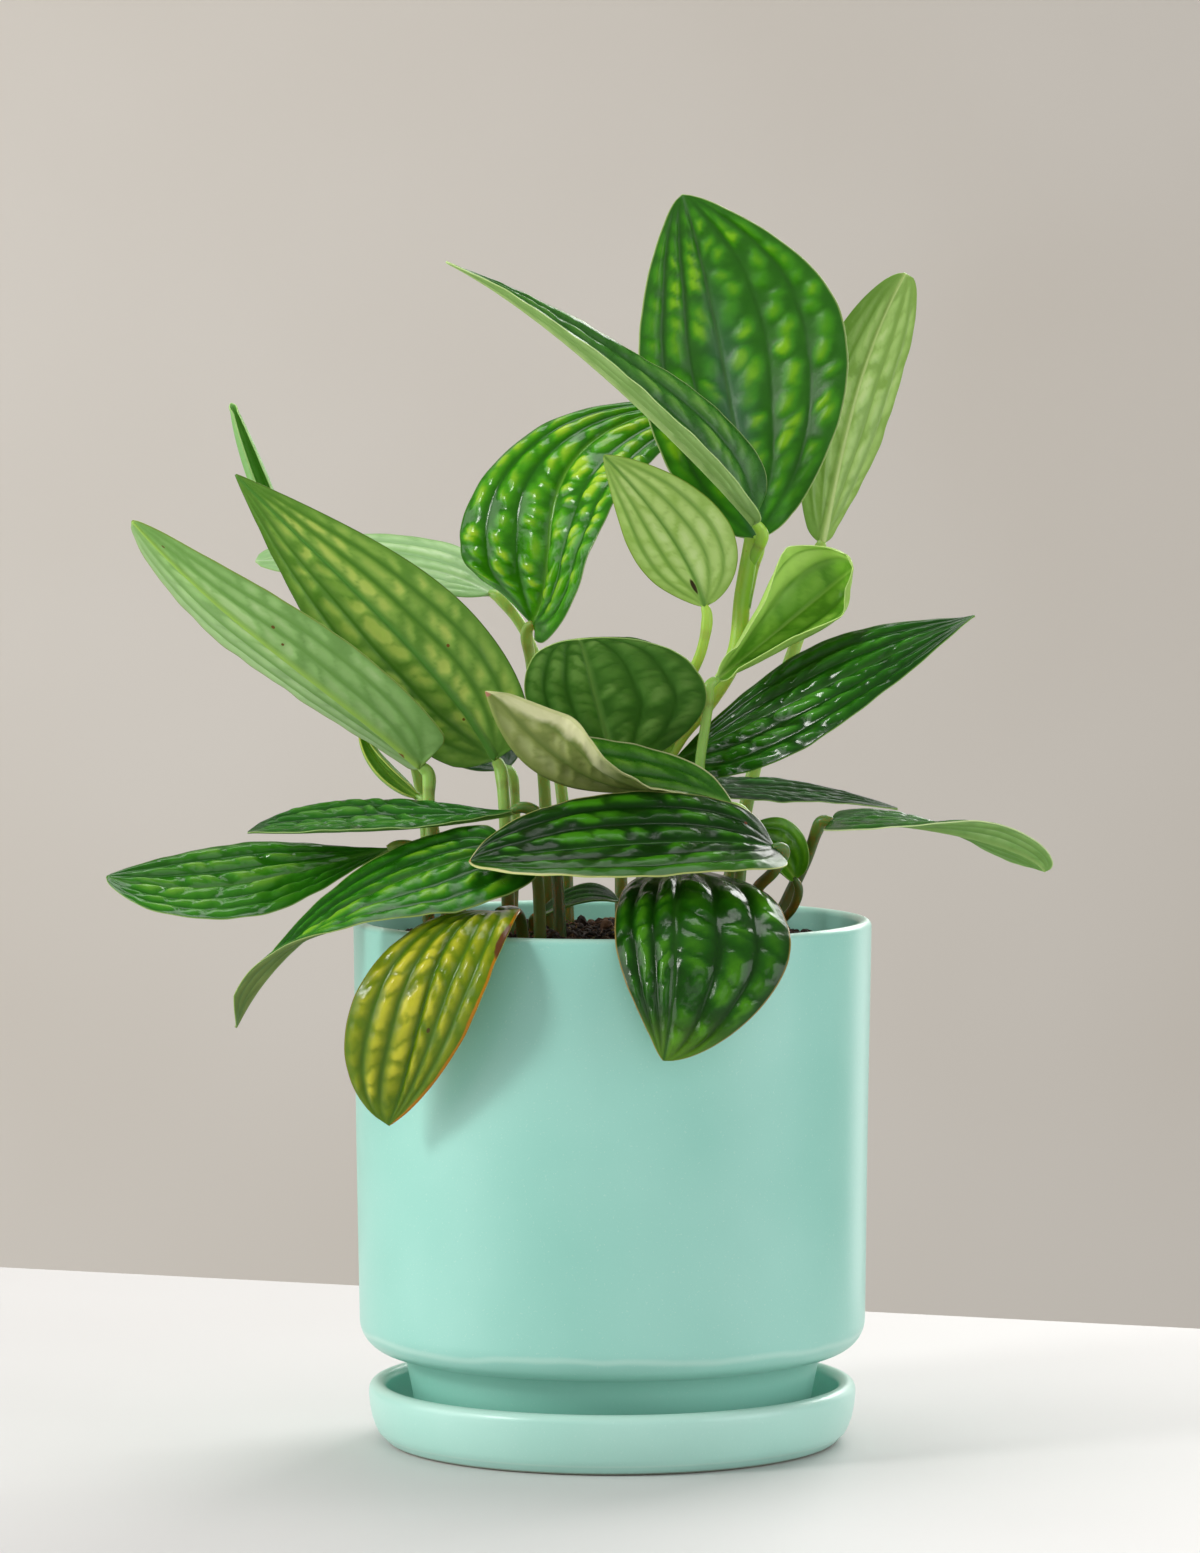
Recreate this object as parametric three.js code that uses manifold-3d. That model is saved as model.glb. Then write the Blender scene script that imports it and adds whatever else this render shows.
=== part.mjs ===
// Potted Karsten's monstera: a clump of climbing stems with broad quilted leaves,
// standing in potting mix in a glazed pot with a tapered foot, on its saucer.
// Millimetres, +Z up, origin on the surface under the middle of the saucer.
import * as THREE from 'three'
import { mergeVertices } from 'three/addons/utils/BufferGeometryUtils.js'
import Module from 'manifold-3d'

const wasm = await Module()
wasm.setup()

// Driving dimensions of the pot, its saucer and the potting mix
const POT_RIM_RADIUS = 80
const POT_RIM_HEIGHT = 162
const POT_WALL = 4
const POT_LOW_RADIUS = 78.3
const POT_BODY_BOTTOM = 28.5
const POT_CORNER_RADIUS = 10
const POT_FLOOR = 5.5
const FOOT_TOP_RADIUS = 65
const FOOT_LOW_RADIUS = 60
const FOOT_INNER_RADIUS = 52
const DRAIN_RADIUS = 5
const SAUCER_RADIUS = 75.4
const SAUCER_HEIGHT = 18.9
const SAUCER_BASE_RADIUS = 68
const SAUCER_WALL = 5.4
const SAUCER_FLOOR = 5
const SOIL_TOP = 155.5
const SOIL_MOUND = 1.5
const CLEARANCE = 0.3
const ROUND_SIDES = 40

// Driving dimensions shared by the leaves and stems
const BLADE_THICKNESS = 0.8
const BLADE_END_WIDTH = 0.35
const LOBE_START = 0.06
const ROLL_EASE = [0.1, 3]
const JOIN_GAP = 0.4
const JOIN_RUN = 3
const STEM_SIDES = 6
const ROOT_DEPTH = 128

// Each leaf: four points of its midrib from base to tip, the way its upper side faces
// from base to tip, then for its left and right half (seen from above, tip ahead) the
// width, where along the leaf it is widest, how far it folds up from the midrib in
// degrees (one value, or several from base to tip) and how far it curls beyond that.
// blunt gives the roundness of the base, left tip and right tip: lower is rounder.
const LEAVES = {
  leaf_top: {
    rib: [[45, 13, 279], [38, 30, 315], [31, 36, 352], [22, 32, 386]],
    up: [[0.1, -1, 0.15], [-0.1, -1, 0.1]],
    width: [28, 41], widest: [0.42, 0.52], fold: [[12], [10]], curl: [12, 18],
    blunt: [0.58, 0.68, 0.85], lobe: 0.02, pleat: 1.2
  },
  leaf_spear: {
    rib: [[44, 4, 284], [16, -10, 313], [-17, -16, 342], [-50.5, -18, 364]],
    up: [[0.6, 0, 0.8], [0.6, 0, 0.8]],
    width: [13, 24], widest: [0.42, 0.28], fold: [[22, 15, 10], [50, 28, 14]], curl: [4, 8],
    blunt: [0.55, 0.9, 0.9], lobe: 0.02, pleat: 1.0
  },
  leaf_back_right: {
    rib: [[66, 44, 277], [72, 52, 304], [80, 56, 333], [92.5, 50, 362]],
    up: [[-0.4, 0.9, 0.1], [-0.4, 0.9, 0.1]],
    width: [18, 14], widest: [0.6, 0.5], fold: [[12], [12]], curl: [15, 15],
    blunt: [0.6, 0.5, 0.6], lobe: 0.02, pleat: 0.5
  },
  leaf_arched: {
    rib: [[-25, 27, 252], [-19.5, 21, 276], [-12.5, 27, 302], [22, 46, 320]],
    up: [[-0.3, -1, 0.1], [-0.3, -0.85, 0.5]],
    width: [32, 29], widest: [0.36, 0.5], fold: [[0], [48, 40, 14, 4]], curl: [-20, 10],
    blunt: [0.42, 0.85, 0.45], lobe: 0.04, pleat: 1.3
  },
  leaf_small_top: {
    rib: [[28.5, -6, 258.5], [22, -8, 274], [11, -12, 290], [-2.5, -14, 305]],
    up: [[0, 1, 0.1], [0.1, 1, 0.2]],
    width: [17, 14], widest: [0.36, 0.42], fold: [[8], [8]], curl: [12, 12],
    blunt: [1, 0.85, 0.85], lobe: 0, pleat: 0.3, small: true
  },
  leaf_young: {
    rib: [[32, -8, 236], [49, 2, 249], [65, 6, 262], [74, -2, 270]],
    up: [[-0.2, -1, 0.2], [-0.2, -1, 0.3]],
    width: [26, 20], widest: [0.6, 0.5], fold: [[26, 24, 8, -16], [26, 22, 6, -16]], curl: [96, 76],
    blunt: [0.8, 0.6, 0.6], lobe: 0, pleat: 0.3, small: true
  },
  leaf_right: {
    rib: [[19, 10, 210], [46, -2, 224], [78, -12, 240], [111, -12, 256]],
    up: [[-0.2, -0.75, 0.6], [-0.3, -0.5, 0.8]],
    width: [16, 20], widest: [0.56, 0.42], fold: [[8], [6]], curl: [10, -14],
    blunt: [0.95, 1.1, 1.1], lobe: 0.02, pleat: 1.2
  },
  leaf_low_back: {
    rib: [[16, 11, 201], [38, 16, 200.5], [62, 18, 199], [89, 16, 195]],
    up: [[0, -0.12, 1], [0.1, -0.12, 1]],
    width: [19, 18], widest: [0.42, 0.42], fold: [[6], [6]], curl: [-8, -8],
    blunt: [0.6, 0.85, 0.85], lobe: 0.02, pleat: 1.2
  },
  leaf_far_right: {
    rib: [[67, -12, 193], [91, -20, 192.5], [117, -26, 187], [132, -26, 178.5]],
    up: [[0, -0.42, 1], [0.1, -0.05, 0.95], [0.2, 0.36, 0.85], [0.3, 0.5, 0.75]],
    width: [14, 18], widest: [0.44, 0.44], fold: [[6], [6]], curl: [-8, -8],
    blunt: [0.5, 0.72, 0.62], lobe: 0.06, pleat: 0.8
  },
  leaf_small_low: {
    rib: [[56, -14, 175], [51, -12, 181], [44, -6, 184], [36, 0, 185]],
    up: [[0, -0.7, 0.7], [0, -0.5, 0.9]],
    width: [11, 12], widest: [0.45, 0.45], fold: [[20], [20]], curl: [50, 50],
    blunt: [0.6, 0.85, 0.85], lobe: 0, pleat: 0.2, small: true
  },
  leaf_heart: {
    rib: [[3, 8, 208], [-3, -8, 224], [-7, -26, 240], [-10, -44, 250]],
    up: [[0, 0.9, 0.4], [0, 0.6, 0.8]],
    width: [33.5, 21], widest: [0.45, 0.5], fold: [[6], [6]], curl: [-14, -14],
    blunt: [0.6, 0.5, 0.5], lobe: 0.02, pleat: 0.9
  },
  leaf_left: {
    rib: [[-59, 0, 209], [-88, -6, 233], [-118, -10, 257], [-147, -10, 285]],
    up: [[0.3, 0.7, 0.5], [0.3, 0.8, 0.4]],
    width: [17, 14], widest: [0.34, 0.6], fold: [[10], [10]], curl: [10, 10],
    blunt: [0.36, 0.7, 0.6], lobe: 0.06, pleat: 0.7
  },
  leaf_left_big: {
    rib: [[-36, 4, 211], [-56, 2, 239], [-84, 2, 268], [-116, 2, 299]],
    up: [[0.2, 0.9, 0.1], [0.2, 0.9, 0.2]],
    width: [21, 25], widest: [0.36, 0.42], fold: [[8], [8]], curl: [8, 8],
    blunt: [0.5, 0.9, 1], lobe: 0.02, pleat: 0.8
  },
  leaf_furled_back: {
    rib: [[-98, 16, 268], [-106, 16, 285], [-113, 16, 303], [-118, 14, 321]],
    up: [[0.3, -0.9, 0.1], [0.3, -0.9, 0.1]],
    width: [8, 8], widest: [0.45, 0.45], fold: [[30], [30]], curl: [90, 90],
    blunt: [0.6, 0.6, 0.6], lobe: 0, pleat: 0, small: true
  },
  leaf_back: {
    rib: [[-38, 52, 261], [-58, 58, 268], [-84, 60, 271], [-113, 58, 271]],
    up: [[0, -0.4, 0.9], [0, -0.5, 0.9]],
    width: [17, 18], widest: [0.42, 0.42], fold: [[8], [8]], curl: [-8, -8],
    blunt: [0.6, 0.5, 0.5], lobe: 0, pleat: 0.6, small: true
  },
  leaf_cream: {
    rib: [[37, -20, 198], [10, -22, 203], [-18, -30, 207], [-38, -38, 234]],
    up: [[0, -0.3, 0.95], [0.8, 0.35, 0.3]],
    width: [21, 23], widest: [0.7, 0.6], fold: [[0, 10, 46, 76], [30, 26, 20, 20]], curl: [10, 25],
    blunt: [0.6, 0.6, 0.6], lobe: 0, pleat: 0.7
  },
  leaf_front: {
    rib: [[49, -46, 187], [22, -53, 189], [-13, -57, 187], [-43, -56, 183.5]],
    up: [[0, -0.4, 0.9], [0, -0.4, 0.9]],
    width: [27, 27], widest: [0.45, 0.5], fold: [[6], [6]], curl: [4, 4],
    blunt: [0.26, 0.75, 0.62], lobe: 0, pleat: 0.9
  },
  leaf_front_low: {
    rib: [[20, -30, 180], [19, -77, 171.5], [18, -94, 150], [15, -94, 127.5]],
    up: [[0, 0.1, 1], [-0.1, -1, 0.1]],
    width: [34, 18.5], widest: [0.46, 0.4], fold: [[-4], [-6]], curl: [-14, -10],
    blunt: [0.4, 0.75, 0.85], lobe: 0.02, pleat: 1.0
  },
  leaf_yellow: {
    rib: [[-34, -50, 168], [-49.5, -77, 159.5], [-58.5, -78, 133], [-67, -64, 105]],
    up: [[-0.2, -0.4, 0.9], [0, -1, 0.1]],
    width: [18, 21], widest: [0.38, 0.66], fold: [[4], [6]], curl: [6, -8],
    blunt: [0.6, 0.95, 0.55], lobe: 0.02, pleat: 1.1
  },
  leaf_low_left: {
    rib: [[-31, -38, 187], [-57, -50, 180], [-88, -58, 164], [-113, -60, 134]],
    up: [[0, -0.6, 0.8], [-0.2, -0.6, 0.7], [-0.4, -0.5, 0.65], [-0.5, -0.3, 0.6]],
    width: [25, 13], widest: [0.33, 0.3], fold: [[4, 4, 24, 72], [4]], curl: [4, 4],
    blunt: [0.42, 0.6, 0.85], lobe: 0.03, pleat: 1.1
  },
  leaf_far_left: {
    rib: [[-68, -18, 185], [-94, -22, 178], [-124, -26, 173], [-154, -28, 177]],
    up: [[0.1, -0.5, 0.8], [0, -0.5, 0.85]],
    width: [21, 18], widest: [0.58, 0.58], fold: [[6], [6]], curl: [6, 6],
    blunt: [1, 0.7, 0.75], lobe: 0, pleat: 1.2
  },
  leaf_mid_left: {
    rib: [[-30, -22, 197], [-56, -26, 193], [-84, -28, 191.5], [-111, -26, 190.5]],
    up: [[0, -0.12, 1], [0, -0.14, 1]],
    width: [22, 22], widest: [0.55, 0.55], fold: [[8], [10]], curl: [4, 4],
    blunt: [0.9, 0.55, 0.55], lobe: 0, pleat: 1.1
  },
  leaf_furled_left: {
    rib: [[-60, 9, 199], [-67, 11, 204], [-74, 12, 212], [-78, 11, 223]],
    up: [[-0.2, -0.9, 0.2], [-0.2, -0.9, 0.2]],
    width: [6, 6], widest: [0.45, 0.45], fold: [[30], [30]], curl: [80, 80],
    blunt: [0.6, 0.8, 0.8], lobe: 0, pleat: 0, small: true
  },
  leaf_behind: {
    rib: [[-33, 26, 207], [-40, 32, 212], [-48, 36, 218], [-56, 38, 227]],
    up: [[0, -0.6, 0.8], [0, -0.6, 0.8]],
    width: [12, 12], widest: [0.42, 0.42], fold: [[6], [6]], curl: [4, 4],
    blunt: [0.6, 0.85, 0.85], lobe: 0, pleat: 0.2, small: true
  },
  leaf_low_mid: {
    rib: [[-22, 2, 163], [-14, -2, 167], [-6, -6, 169], [2, -10, 168]],
    up: [[0, -0.4, 0.9], [0.2, -0.4, 0.9]],
    width: [8, 8], widest: [0.42, 0.42], fold: [[8], [8]], curl: [8, 8],
    blunt: [0.6, 0.85, 0.85], lobe: 0, pleat: 0.2, small: true
  }
}

// Each stem node: its branches, each with the points of its centre line, its radius at
// both ends, and the leaf that it carries, whose base is then its last point.
// The first branch of a node starts underground, in its hole in the potting mix.
const STEMS = {
  stem_main: [
    { path: [[10, 6, 0], [10.5, 6, 160], [12, 6, 200], [20, 8, 217], [30, 8, 229], [38, 6, 243],
      [40.5, 7, 262], [43.5, 9, 279]], radius: [3.2, 2.6] },
    { path: [[41, 6.5, 258], [44, 10.5, 271]], radius: [1.9, 1.6], leaf: 'leaf_top' },
    { path: [[42, 8, 270], [46.5, 5.5, 280]], radius: [1.9, 1.6], leaf: 'leaf_spear' },
    { path: [[16.5, 7, 211.5], [22, 0, 232], [27.5, -5, 245]], radius: [1.9, 1.5],
      leaf: 'leaf_small_top' },
    { path: [[12.5, 6, 201], [14.5, 9.5, 207]], radius: [1.9, 1.6], leaf: 'leaf_right' },
    { path: [[11.2, 6, 188], [11.5, 10, 197]], radius: [1.9, 1.6], leaf: 'leaf_low_back' }
  ],
  stem_young: [
    { path: [[28, -8, 0], [28, -8, 160], [26.5, -8, 190], [27, -7.5, 210], [29.5, -7.8, 228]],
      radius: [1.8, 1.5], leaf: 'leaf_young' }
  ],
  stem_back_right: [
    { path: [[34, 42, 0], [35, 42, 160], [40, 43, 182], [45, 44, 206], [51, 44, 226], [58, 44, 245],
      [63, 44, 262]], radius: [2.5, 1.9], leaf: 'leaf_back_right' }
  ],
  stem_arched: [
    { path: [[-20, 22, 0], [-20, 22, 160], [-21, 24, 200], [-25, 29, 238]], radius: [2.2, 1.7],
      leaf: 'leaf_arched' }
  ],
  stem_heart: [
    { path: [[3, 15, 0], [3, 15, 160], [3, 17, 188], [4.5, 13, 202]], radius: [2.2, 1.7],
      leaf: 'leaf_heart' }
  ],
  stem_left: [
    { path: [[-50, 2, 0], [-50.5, 2, 160], [-54, 1, 182], [-56.5, 0, 198]], radius: [2.2, 1.8],
      leaf: 'leaf_left' }
  ],
  stem_left_big: [
    { path: [[-32, 2, 0], [-32, 2, 160], [-32.5, 1, 180], [-33.5, 2, 200]], radius: [2.2, 1.8],
      leaf: 'leaf_left_big' }
  ],
  stem_furled: [
    { path: [[-57, 13, 0], [-57, 13, 160], [-59, 15, 198], [-68, 19, 228], [-84, 19, 252]],
      radius: [2, 1.4], leaf: 'leaf_furled_back' },
    { path: [[-57.4, 13.4, 178], [-56.5, 9.5, 192]], radius: [1.5, 1.2], leaf: 'leaf_furled_left' }
  ],
  stem_back: [
    { path: [[-14, 42, 0], [-14, 42, 160], [-16, 45, 200], [-26, 50, 246]], radius: [2.2, 1.6],
      leaf: 'leaf_back' }
  ],
  stem_behind: [
    { path: [[-31, 17, 0], [-31, 17, 160], [-30, 20, 192]], radius: [1.8, 1.4], leaf: 'leaf_behind' }
  ],
  stem_low_mid: [
    { path: [[-24, 6, 0], [-24, 5, 157]], radius: [1.5, 1.2], leaf: 'leaf_low_mid' }
  ],
  stem_right: [
    { path: [[49, -6, 0], [49.5, -5, 158], [54, -4, 168], [60, -5, 181], [63, -9.5, 190]],
      radius: [2.1, 1.7], leaf: 'leaf_far_right' },
    { path: [[50, -5.2, 160], [55.5, -11, 166]], radius: [1.5, 1.2],
      leaf: 'leaf_small_low' }
  ],
  stem_cream: [
    { path: [[38, -22, 0], [38, -22, 160], [40, -20, 185], [41, -20, 194]], radius: [2, 1.6],
      leaf: 'leaf_cream' }
  ],
  stem_front: [
    { path: [[43, -36, 0], [43, -36, 160], [43.5, -37, 173], [49, -43, 180]], radius: [2, 1.7],
      leaf: 'leaf_front' }
  ],
  stem_front_low: [
    { path: [[20, -14, 0], [20, -14, 160], [20, -14, 174], [20, -20, 181]], radius: [2, 1.7],
      leaf: 'leaf_front_low' }
  ],
  stem_yellow: [
    { path: [[-27, -37, 0], [-27, -37, 158], [-28.5, -41, 166.5]], radius: [2, 1.7],
      leaf: 'leaf_yellow' }
  ],
  stem_low_left: [
    { path: [[-22, -26, 0], [-22, -26, 160], [-23, -29, 178], [-26, -35, 187]], radius: [2, 1.7],
      leaf: 'leaf_low_left' }
  ],
  stem_far_left: [
    { path: [[-46, -12, 0], [-46, -12, 160], [-49, -13, 174], [-58, -16, 184]], radius: [2, 1.6],
      leaf: 'leaf_far_left' }
  ],
  stem_mid_left: [
    { path: [[-16, -14, 0], [-16, -14, 160], [-18, -16, 184], [-23, -20, 196]], radius: [2, 1.6],
      leaf: 'leaf_mid_left' }
  ]
}

// Finishes
function finish (colour, roughness) {
  return new THREE.MeshStandardMaterial({ color: colour, roughness, metalness: 0 })
}

const GLAZE = finish('#97cfc0', 0.35)
const POTTING_MIX = finish('#231a14', 0.95)
const STEM_GREEN = finish('#7fa843', 0.5)
const LEAF_GREEN = finish('#3c7a22', 0.3)
const LEAF_PALE = finish('#8fbb63', 0.5)
const LEAF_YELLOW = finish('#a3a524', 0.4)
const PALE_LEAVES = ['leaf_back_right', 'leaf_small_top', 'leaf_young', 'leaf_furled_back',
  'leaf_back', 'leaf_furled_left', 'leaf_left']

const group = new THREE.Group()

function addMesh (name, geometry, material) {
  const mesh = new THREE.Mesh(geometry, material)
  mesh.name = name
  group.add(mesh)
}

// Joining and cutting of closed solids
function toSolid (geometry) {
  const bare = new THREE.BufferGeometry()
  bare.setAttribute('position', geometry.getAttribute('position').clone())
  if (geometry.index) bare.setIndex(geometry.index.clone())
  const merged = mergeVertices(bare, 1e-4)
  return new wasm.Manifold(new wasm.Mesh({
    numProp: 3,
    vertProperties: new Float32Array(merged.getAttribute('position').array),
    triVerts: new Uint32Array(merged.index.array)
  }))
}

function toGeometry (solid) {
  const mesh = solid.getMesh()
  const geometry = new THREE.BufferGeometry()
  geometry.setAttribute('position', new THREE.BufferAttribute(mesh.vertProperties, 3))
  geometry.setIndex(new THREE.BufferAttribute(mesh.triVerts, 1))
  geometry.computeVertexNormals()
  return geometry
}

// A turned body: the profile is a list of radius and height that closes on itself,
// or starts and ends on the axis
function turned (profile, sides) {
  const points = profile.map(([radius, height]) => new THREE.Vector2(radius, height))
  const geometry = new THREE.LatheGeometry(points, sides)
  geometry.rotateX(Math.PI / 2)
  return geometry
}

function arcPoints (centreRadius, centreHeight, radius, fromDegrees, toDegrees, steps) {
  const points = []
  for (let step = 0; step <= steps; step++) {
    const angle = THREE.MathUtils.degToRad(fromDegrees + (toDegrees - fromDegrees) * step / steps)
    points.push([centreRadius + radius * Math.cos(angle), centreHeight + radius * Math.sin(angle)])
  }
  return points
}

// Pot: a tapered foot ring, a rounded lower corner, straight walls and a rounded lip
function potProfile () {
  const lip = POT_WALL / 2
  const innerTop = POT_RIM_RADIUS - POT_WALL
  const innerLow = POT_LOW_RADIUS - POT_WALL
  const floorTop = POT_BODY_BOTTOM + POT_FLOOR
  return [
    [FOOT_INNER_RADIUS, SAUCER_FLOOR],
    [FOOT_LOW_RADIUS, SAUCER_FLOOR],
    [FOOT_TOP_RADIUS, POT_BODY_BOTTOM],
    ...arcPoints(POT_LOW_RADIUS - POT_CORNER_RADIUS, POT_BODY_BOTTOM + POT_CORNER_RADIUS,
      POT_CORNER_RADIUS, -90, 0, 4),
    ...arcPoints(POT_RIM_RADIUS - lip, POT_RIM_HEIGHT - lip, lip, 0, 180, 4),
    [innerLow, floorTop + 8],
    [innerLow - 8, floorTop],
    [DRAIN_RADIUS, floorTop],
    [DRAIN_RADIUS, POT_BODY_BOTTOM],
    [FOOT_INNER_RADIUS - 2, POT_BODY_BOTTOM],
    [FOOT_INNER_RADIUS, SAUCER_FLOOR]
  ]
}

// Saucer: a shallow dish with a full round rim
function saucerProfile () {
  const lip = SAUCER_WALL / 2
  const inner = SAUCER_RADIUS - SAUCER_WALL
  return [
    [0, 0],
    [SAUCER_BASE_RADIUS, 0],
    [SAUCER_BASE_RADIUS + 3.5, 2.5],
    [SAUCER_RADIUS - 1.2, 8],
    ...arcPoints(SAUCER_RADIUS - lip, SAUCER_HEIGHT - lip, lip, 0, 180, 4),
    [inner - 0.5, 9],
    [inner - 4, SAUCER_FLOOR],
    [0, SAUCER_FLOOR]
  ]
}

// Potting mix: fills the pot up to a slight mound, with a gap all round
function soilProfile () {
  const floor = POT_BODY_BOTTOM + POT_FLOOR + CLEARANCE
  const inner = POT_LOW_RADIUS - POT_WALL - CLEARANCE
  return [
    [0, floor],
    [inner - 9, floor],
    [inner - 0.5, floor + 11],
    [POT_RIM_RADIUS - POT_WALL - 0.8, SOIL_TOP - 3],
    [68, SOIL_TOP],
    [30, SOIL_TOP + SOIL_MOUND],
    [0, SOIL_TOP + SOIL_MOUND]
  ]
}

// Smooth curve through the four midrib points, with t from 0 at the base to 1 at the tip
function ribPoint (rib, t) {
  const weights = [
    (1 - 3 * t) * (2 - 3 * t) * (1 - t) / 2,
    9 * t * (2 - 3 * t) * (1 - t) / 2,
    -9 * t * (1 - 3 * t) * (1 - t) / 2,
    t * (1 - 3 * t) * (2 - 3 * t) / 2
  ]
  const point = new THREE.Vector3()
  rib.forEach((corner, i) => point.addScaledVector(new THREE.Vector3(...corner), weights[i]))
  return point
}

function ribDirection (rib, t) {
  const step = 0.001
  return ribPoint(rib, t + step).sub(ribPoint(rib, t - step)).normalize()
}

function ribLength (rib) {
  let length = 0
  for (let i = 0; i < 20; i++) length += ribPoint(rib, i / 20).distanceTo(ribPoint(rib, (i + 1) / 20))
  return length
}

// A value that changes evenly along the leaf, from one to several of them
function alongLeaf (values, t) {
  const place = t * (values.length - 1)
  const i = Math.min(Math.floor(place), values.length - 2)
  return values.length === 1 ? values[0] : values[i] + (values[i + 1] - values[i]) * (place - i)
}

// Width of one half at t, as a share of its greatest width
function halfOutline (leaf, side, t) {
  const stretched = t ** (Math.log(0.5) / Math.log(leaf.widest[side]))
  const swell = Math.max(0, Math.sin(Math.PI * stretched))
  return swell ** (stretched < 0.5 ? leaf.blunt[0] : leaf.blunt[1 + side])
}

// Three quilted strips on each half, between the midrib, two side veins and the margin
function quilting (leaf, t, across) {
  return leaf.pleat * Math.sin(3 * Math.PI * across) ** 2 * Math.sin(Math.PI * t) ** 0.5
}

// The blade's middle surface: a point and the direction that its upper side faces.
// across runs from -1 at the left margin to 1 at the right margin.
function bladePoint (leaf, length, t, across) {
  const side = across < 0 ? 0 : 1
  const sign = across < 0 ? -1 : 1
  const share = Math.abs(across)
  const ahead = ribDirection(leaf.rib, t)
  const facing = leaf.up.map(direction => new THREE.Vector3(...direction).normalize().toArray())
  const up = new THREE.Vector3(...[0, 1, 2].map(axis => alongLeaf(facing.map(way => way[axis]), t)))
  up.addScaledVector(ahead, -up.dot(ahead)).normalize()
  const right = new THREE.Vector3().crossVectors(ahead, up)
  const outline = halfOutline(leaf, side, t)
  const width = leaf.width[side] * outline + BLADE_END_WIDTH
  // The narrow ends roll up less, so that the two faces never cross there
  const ease = Math.min(1, ROLL_EASE[0] + ROLL_EASE[1] * outline)
  const fold = ease * THREE.MathUtils.degToRad(alongLeaf(leaf.fold[side], t))
  const curl = ease * THREE.MathUtils.degToRad(leaf.curl[side])
  const slope = fold + curl * share
  const outward = width * (Math.sin(slope) - Math.sin(fold)) / curl
  const upward = width * (Math.cos(fold) - Math.cos(slope)) / curl
  const lobeShape = Math.max(0, 1 - 3 * t) ** 2 * Math.min(1, t / LOBE_START)
  const back = -leaf.lobe * length * share ** 1.5 * lobeShape
  const face = up.clone().multiplyScalar(Math.cos(slope)).addScaledVector(right, -sign * Math.sin(slope))
  const point = ribPoint(leaf.rib, t)
    .addScaledVector(right, sign * outward)
    .addScaledVector(up, upward)
    .addScaledVector(ahead, back)
    .addScaledVector(face, quilting(leaf, t, share))
  return { point, face }
}

// A closed thin solid: the same grid on the upper and the under side, joined by a rim
function bladeGeometry (leaf) {
  const rows = leaf.small ? 7 : 8
  const columns = leaf.small ? 8 : 12
  const length = ribLength(leaf.rib)
  const positions = []
  for (const offset of [BLADE_THICKNESS / 2, -BLADE_THICKNESS / 2]) {
    for (let row = 0; row <= rows; row++) {
      for (let column = 0; column <= columns; column++) {
        const { point, face } = bladePoint(leaf, length, row / rows, 2 * column / columns - 1)
        positions.push(...point.addScaledVector(face, offset).toArray())
      }
    }
  }
  const wide = columns + 1
  const under = (rows + 1) * wide
  const indices = []
  const quad = (a, b, c, d) => indices.push(a, b, c, a, c, d)
  for (let row = 0; row < rows; row++) {
    for (let column = 0; column < columns; column++) {
      const corner = row * wide + column
      quad(corner, corner + 1, corner + 1 + wide, corner + wide)
      indices.push(corner + under, corner + 1 + wide + under, corner + 1 + under)
      indices.push(corner + under, corner + wide + under, corner + 1 + wide + under)
    }
    const left = row * wide
    const right = left + columns
    quad(left, left + wide, left + wide + under, left + under)
    quad(right + wide, right, right + under, right + wide + under)
  }
  for (let column = 0; column < columns; column++) {
    const base = column
    const tip = rows * wide + column
    quad(base + 1, base, base + under, base + 1 + under)
    quad(tip, tip + 1, tip + 1 + under, tip + under)
  }
  const geometry = new THREE.BufferGeometry()
  geometry.setAttribute('position', new THREE.Float32BufferAttribute(positions, 3))
  geometry.setIndex(indices)
  geometry.computeVertexNormals()
  return geometry
}

// A round stem along a smooth curve, tapering from one radius to the other, closed by flat ends
function stemGeometry (points, radii) {
  const curve = new THREE.CatmullRomCurve3(points, false, 'centripetal')
  const steps = 2 * (points.length - 1)
  const frames = curve.computeFrenetFrames(steps, false)
  const positions = []
  const indices = []
  for (let step = 0; step <= steps; step++) {
    const centre = curve.getPointAt(step / steps)
    const radius = radii[0] + (radii[1] - radii[0]) * step / steps
    for (let side = 0; side < STEM_SIDES; side++) {
      const angle = 2 * Math.PI * side / STEM_SIDES
      const point = centre.clone()
        .addScaledVector(frames.normals[step], radius * Math.cos(angle))
        .addScaledVector(frames.binormals[step], radius * Math.sin(angle))
      positions.push(...point.toArray())
    }
  }
  for (let step = 0; step < steps; step++) {
    for (let side = 0; side < STEM_SIDES; side++) {
      const a = step * STEM_SIDES + side
      const b = step * STEM_SIDES + (side + 1) % STEM_SIDES
      indices.push(a, b, b + STEM_SIDES, a, b + STEM_SIDES, a + STEM_SIDES)
    }
  }
  const last = steps * STEM_SIDES
  for (let side = 1; side < STEM_SIDES - 1; side++) {
    indices.push(0, side + 1, side)
    indices.push(last, last + side, last + side + 1)
  }
  const geometry = new THREE.BufferGeometry()
  geometry.setAttribute('position', new THREE.Float32BufferAttribute(positions, 3))
  geometry.setIndex(indices)
  return geometry
}

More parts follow.
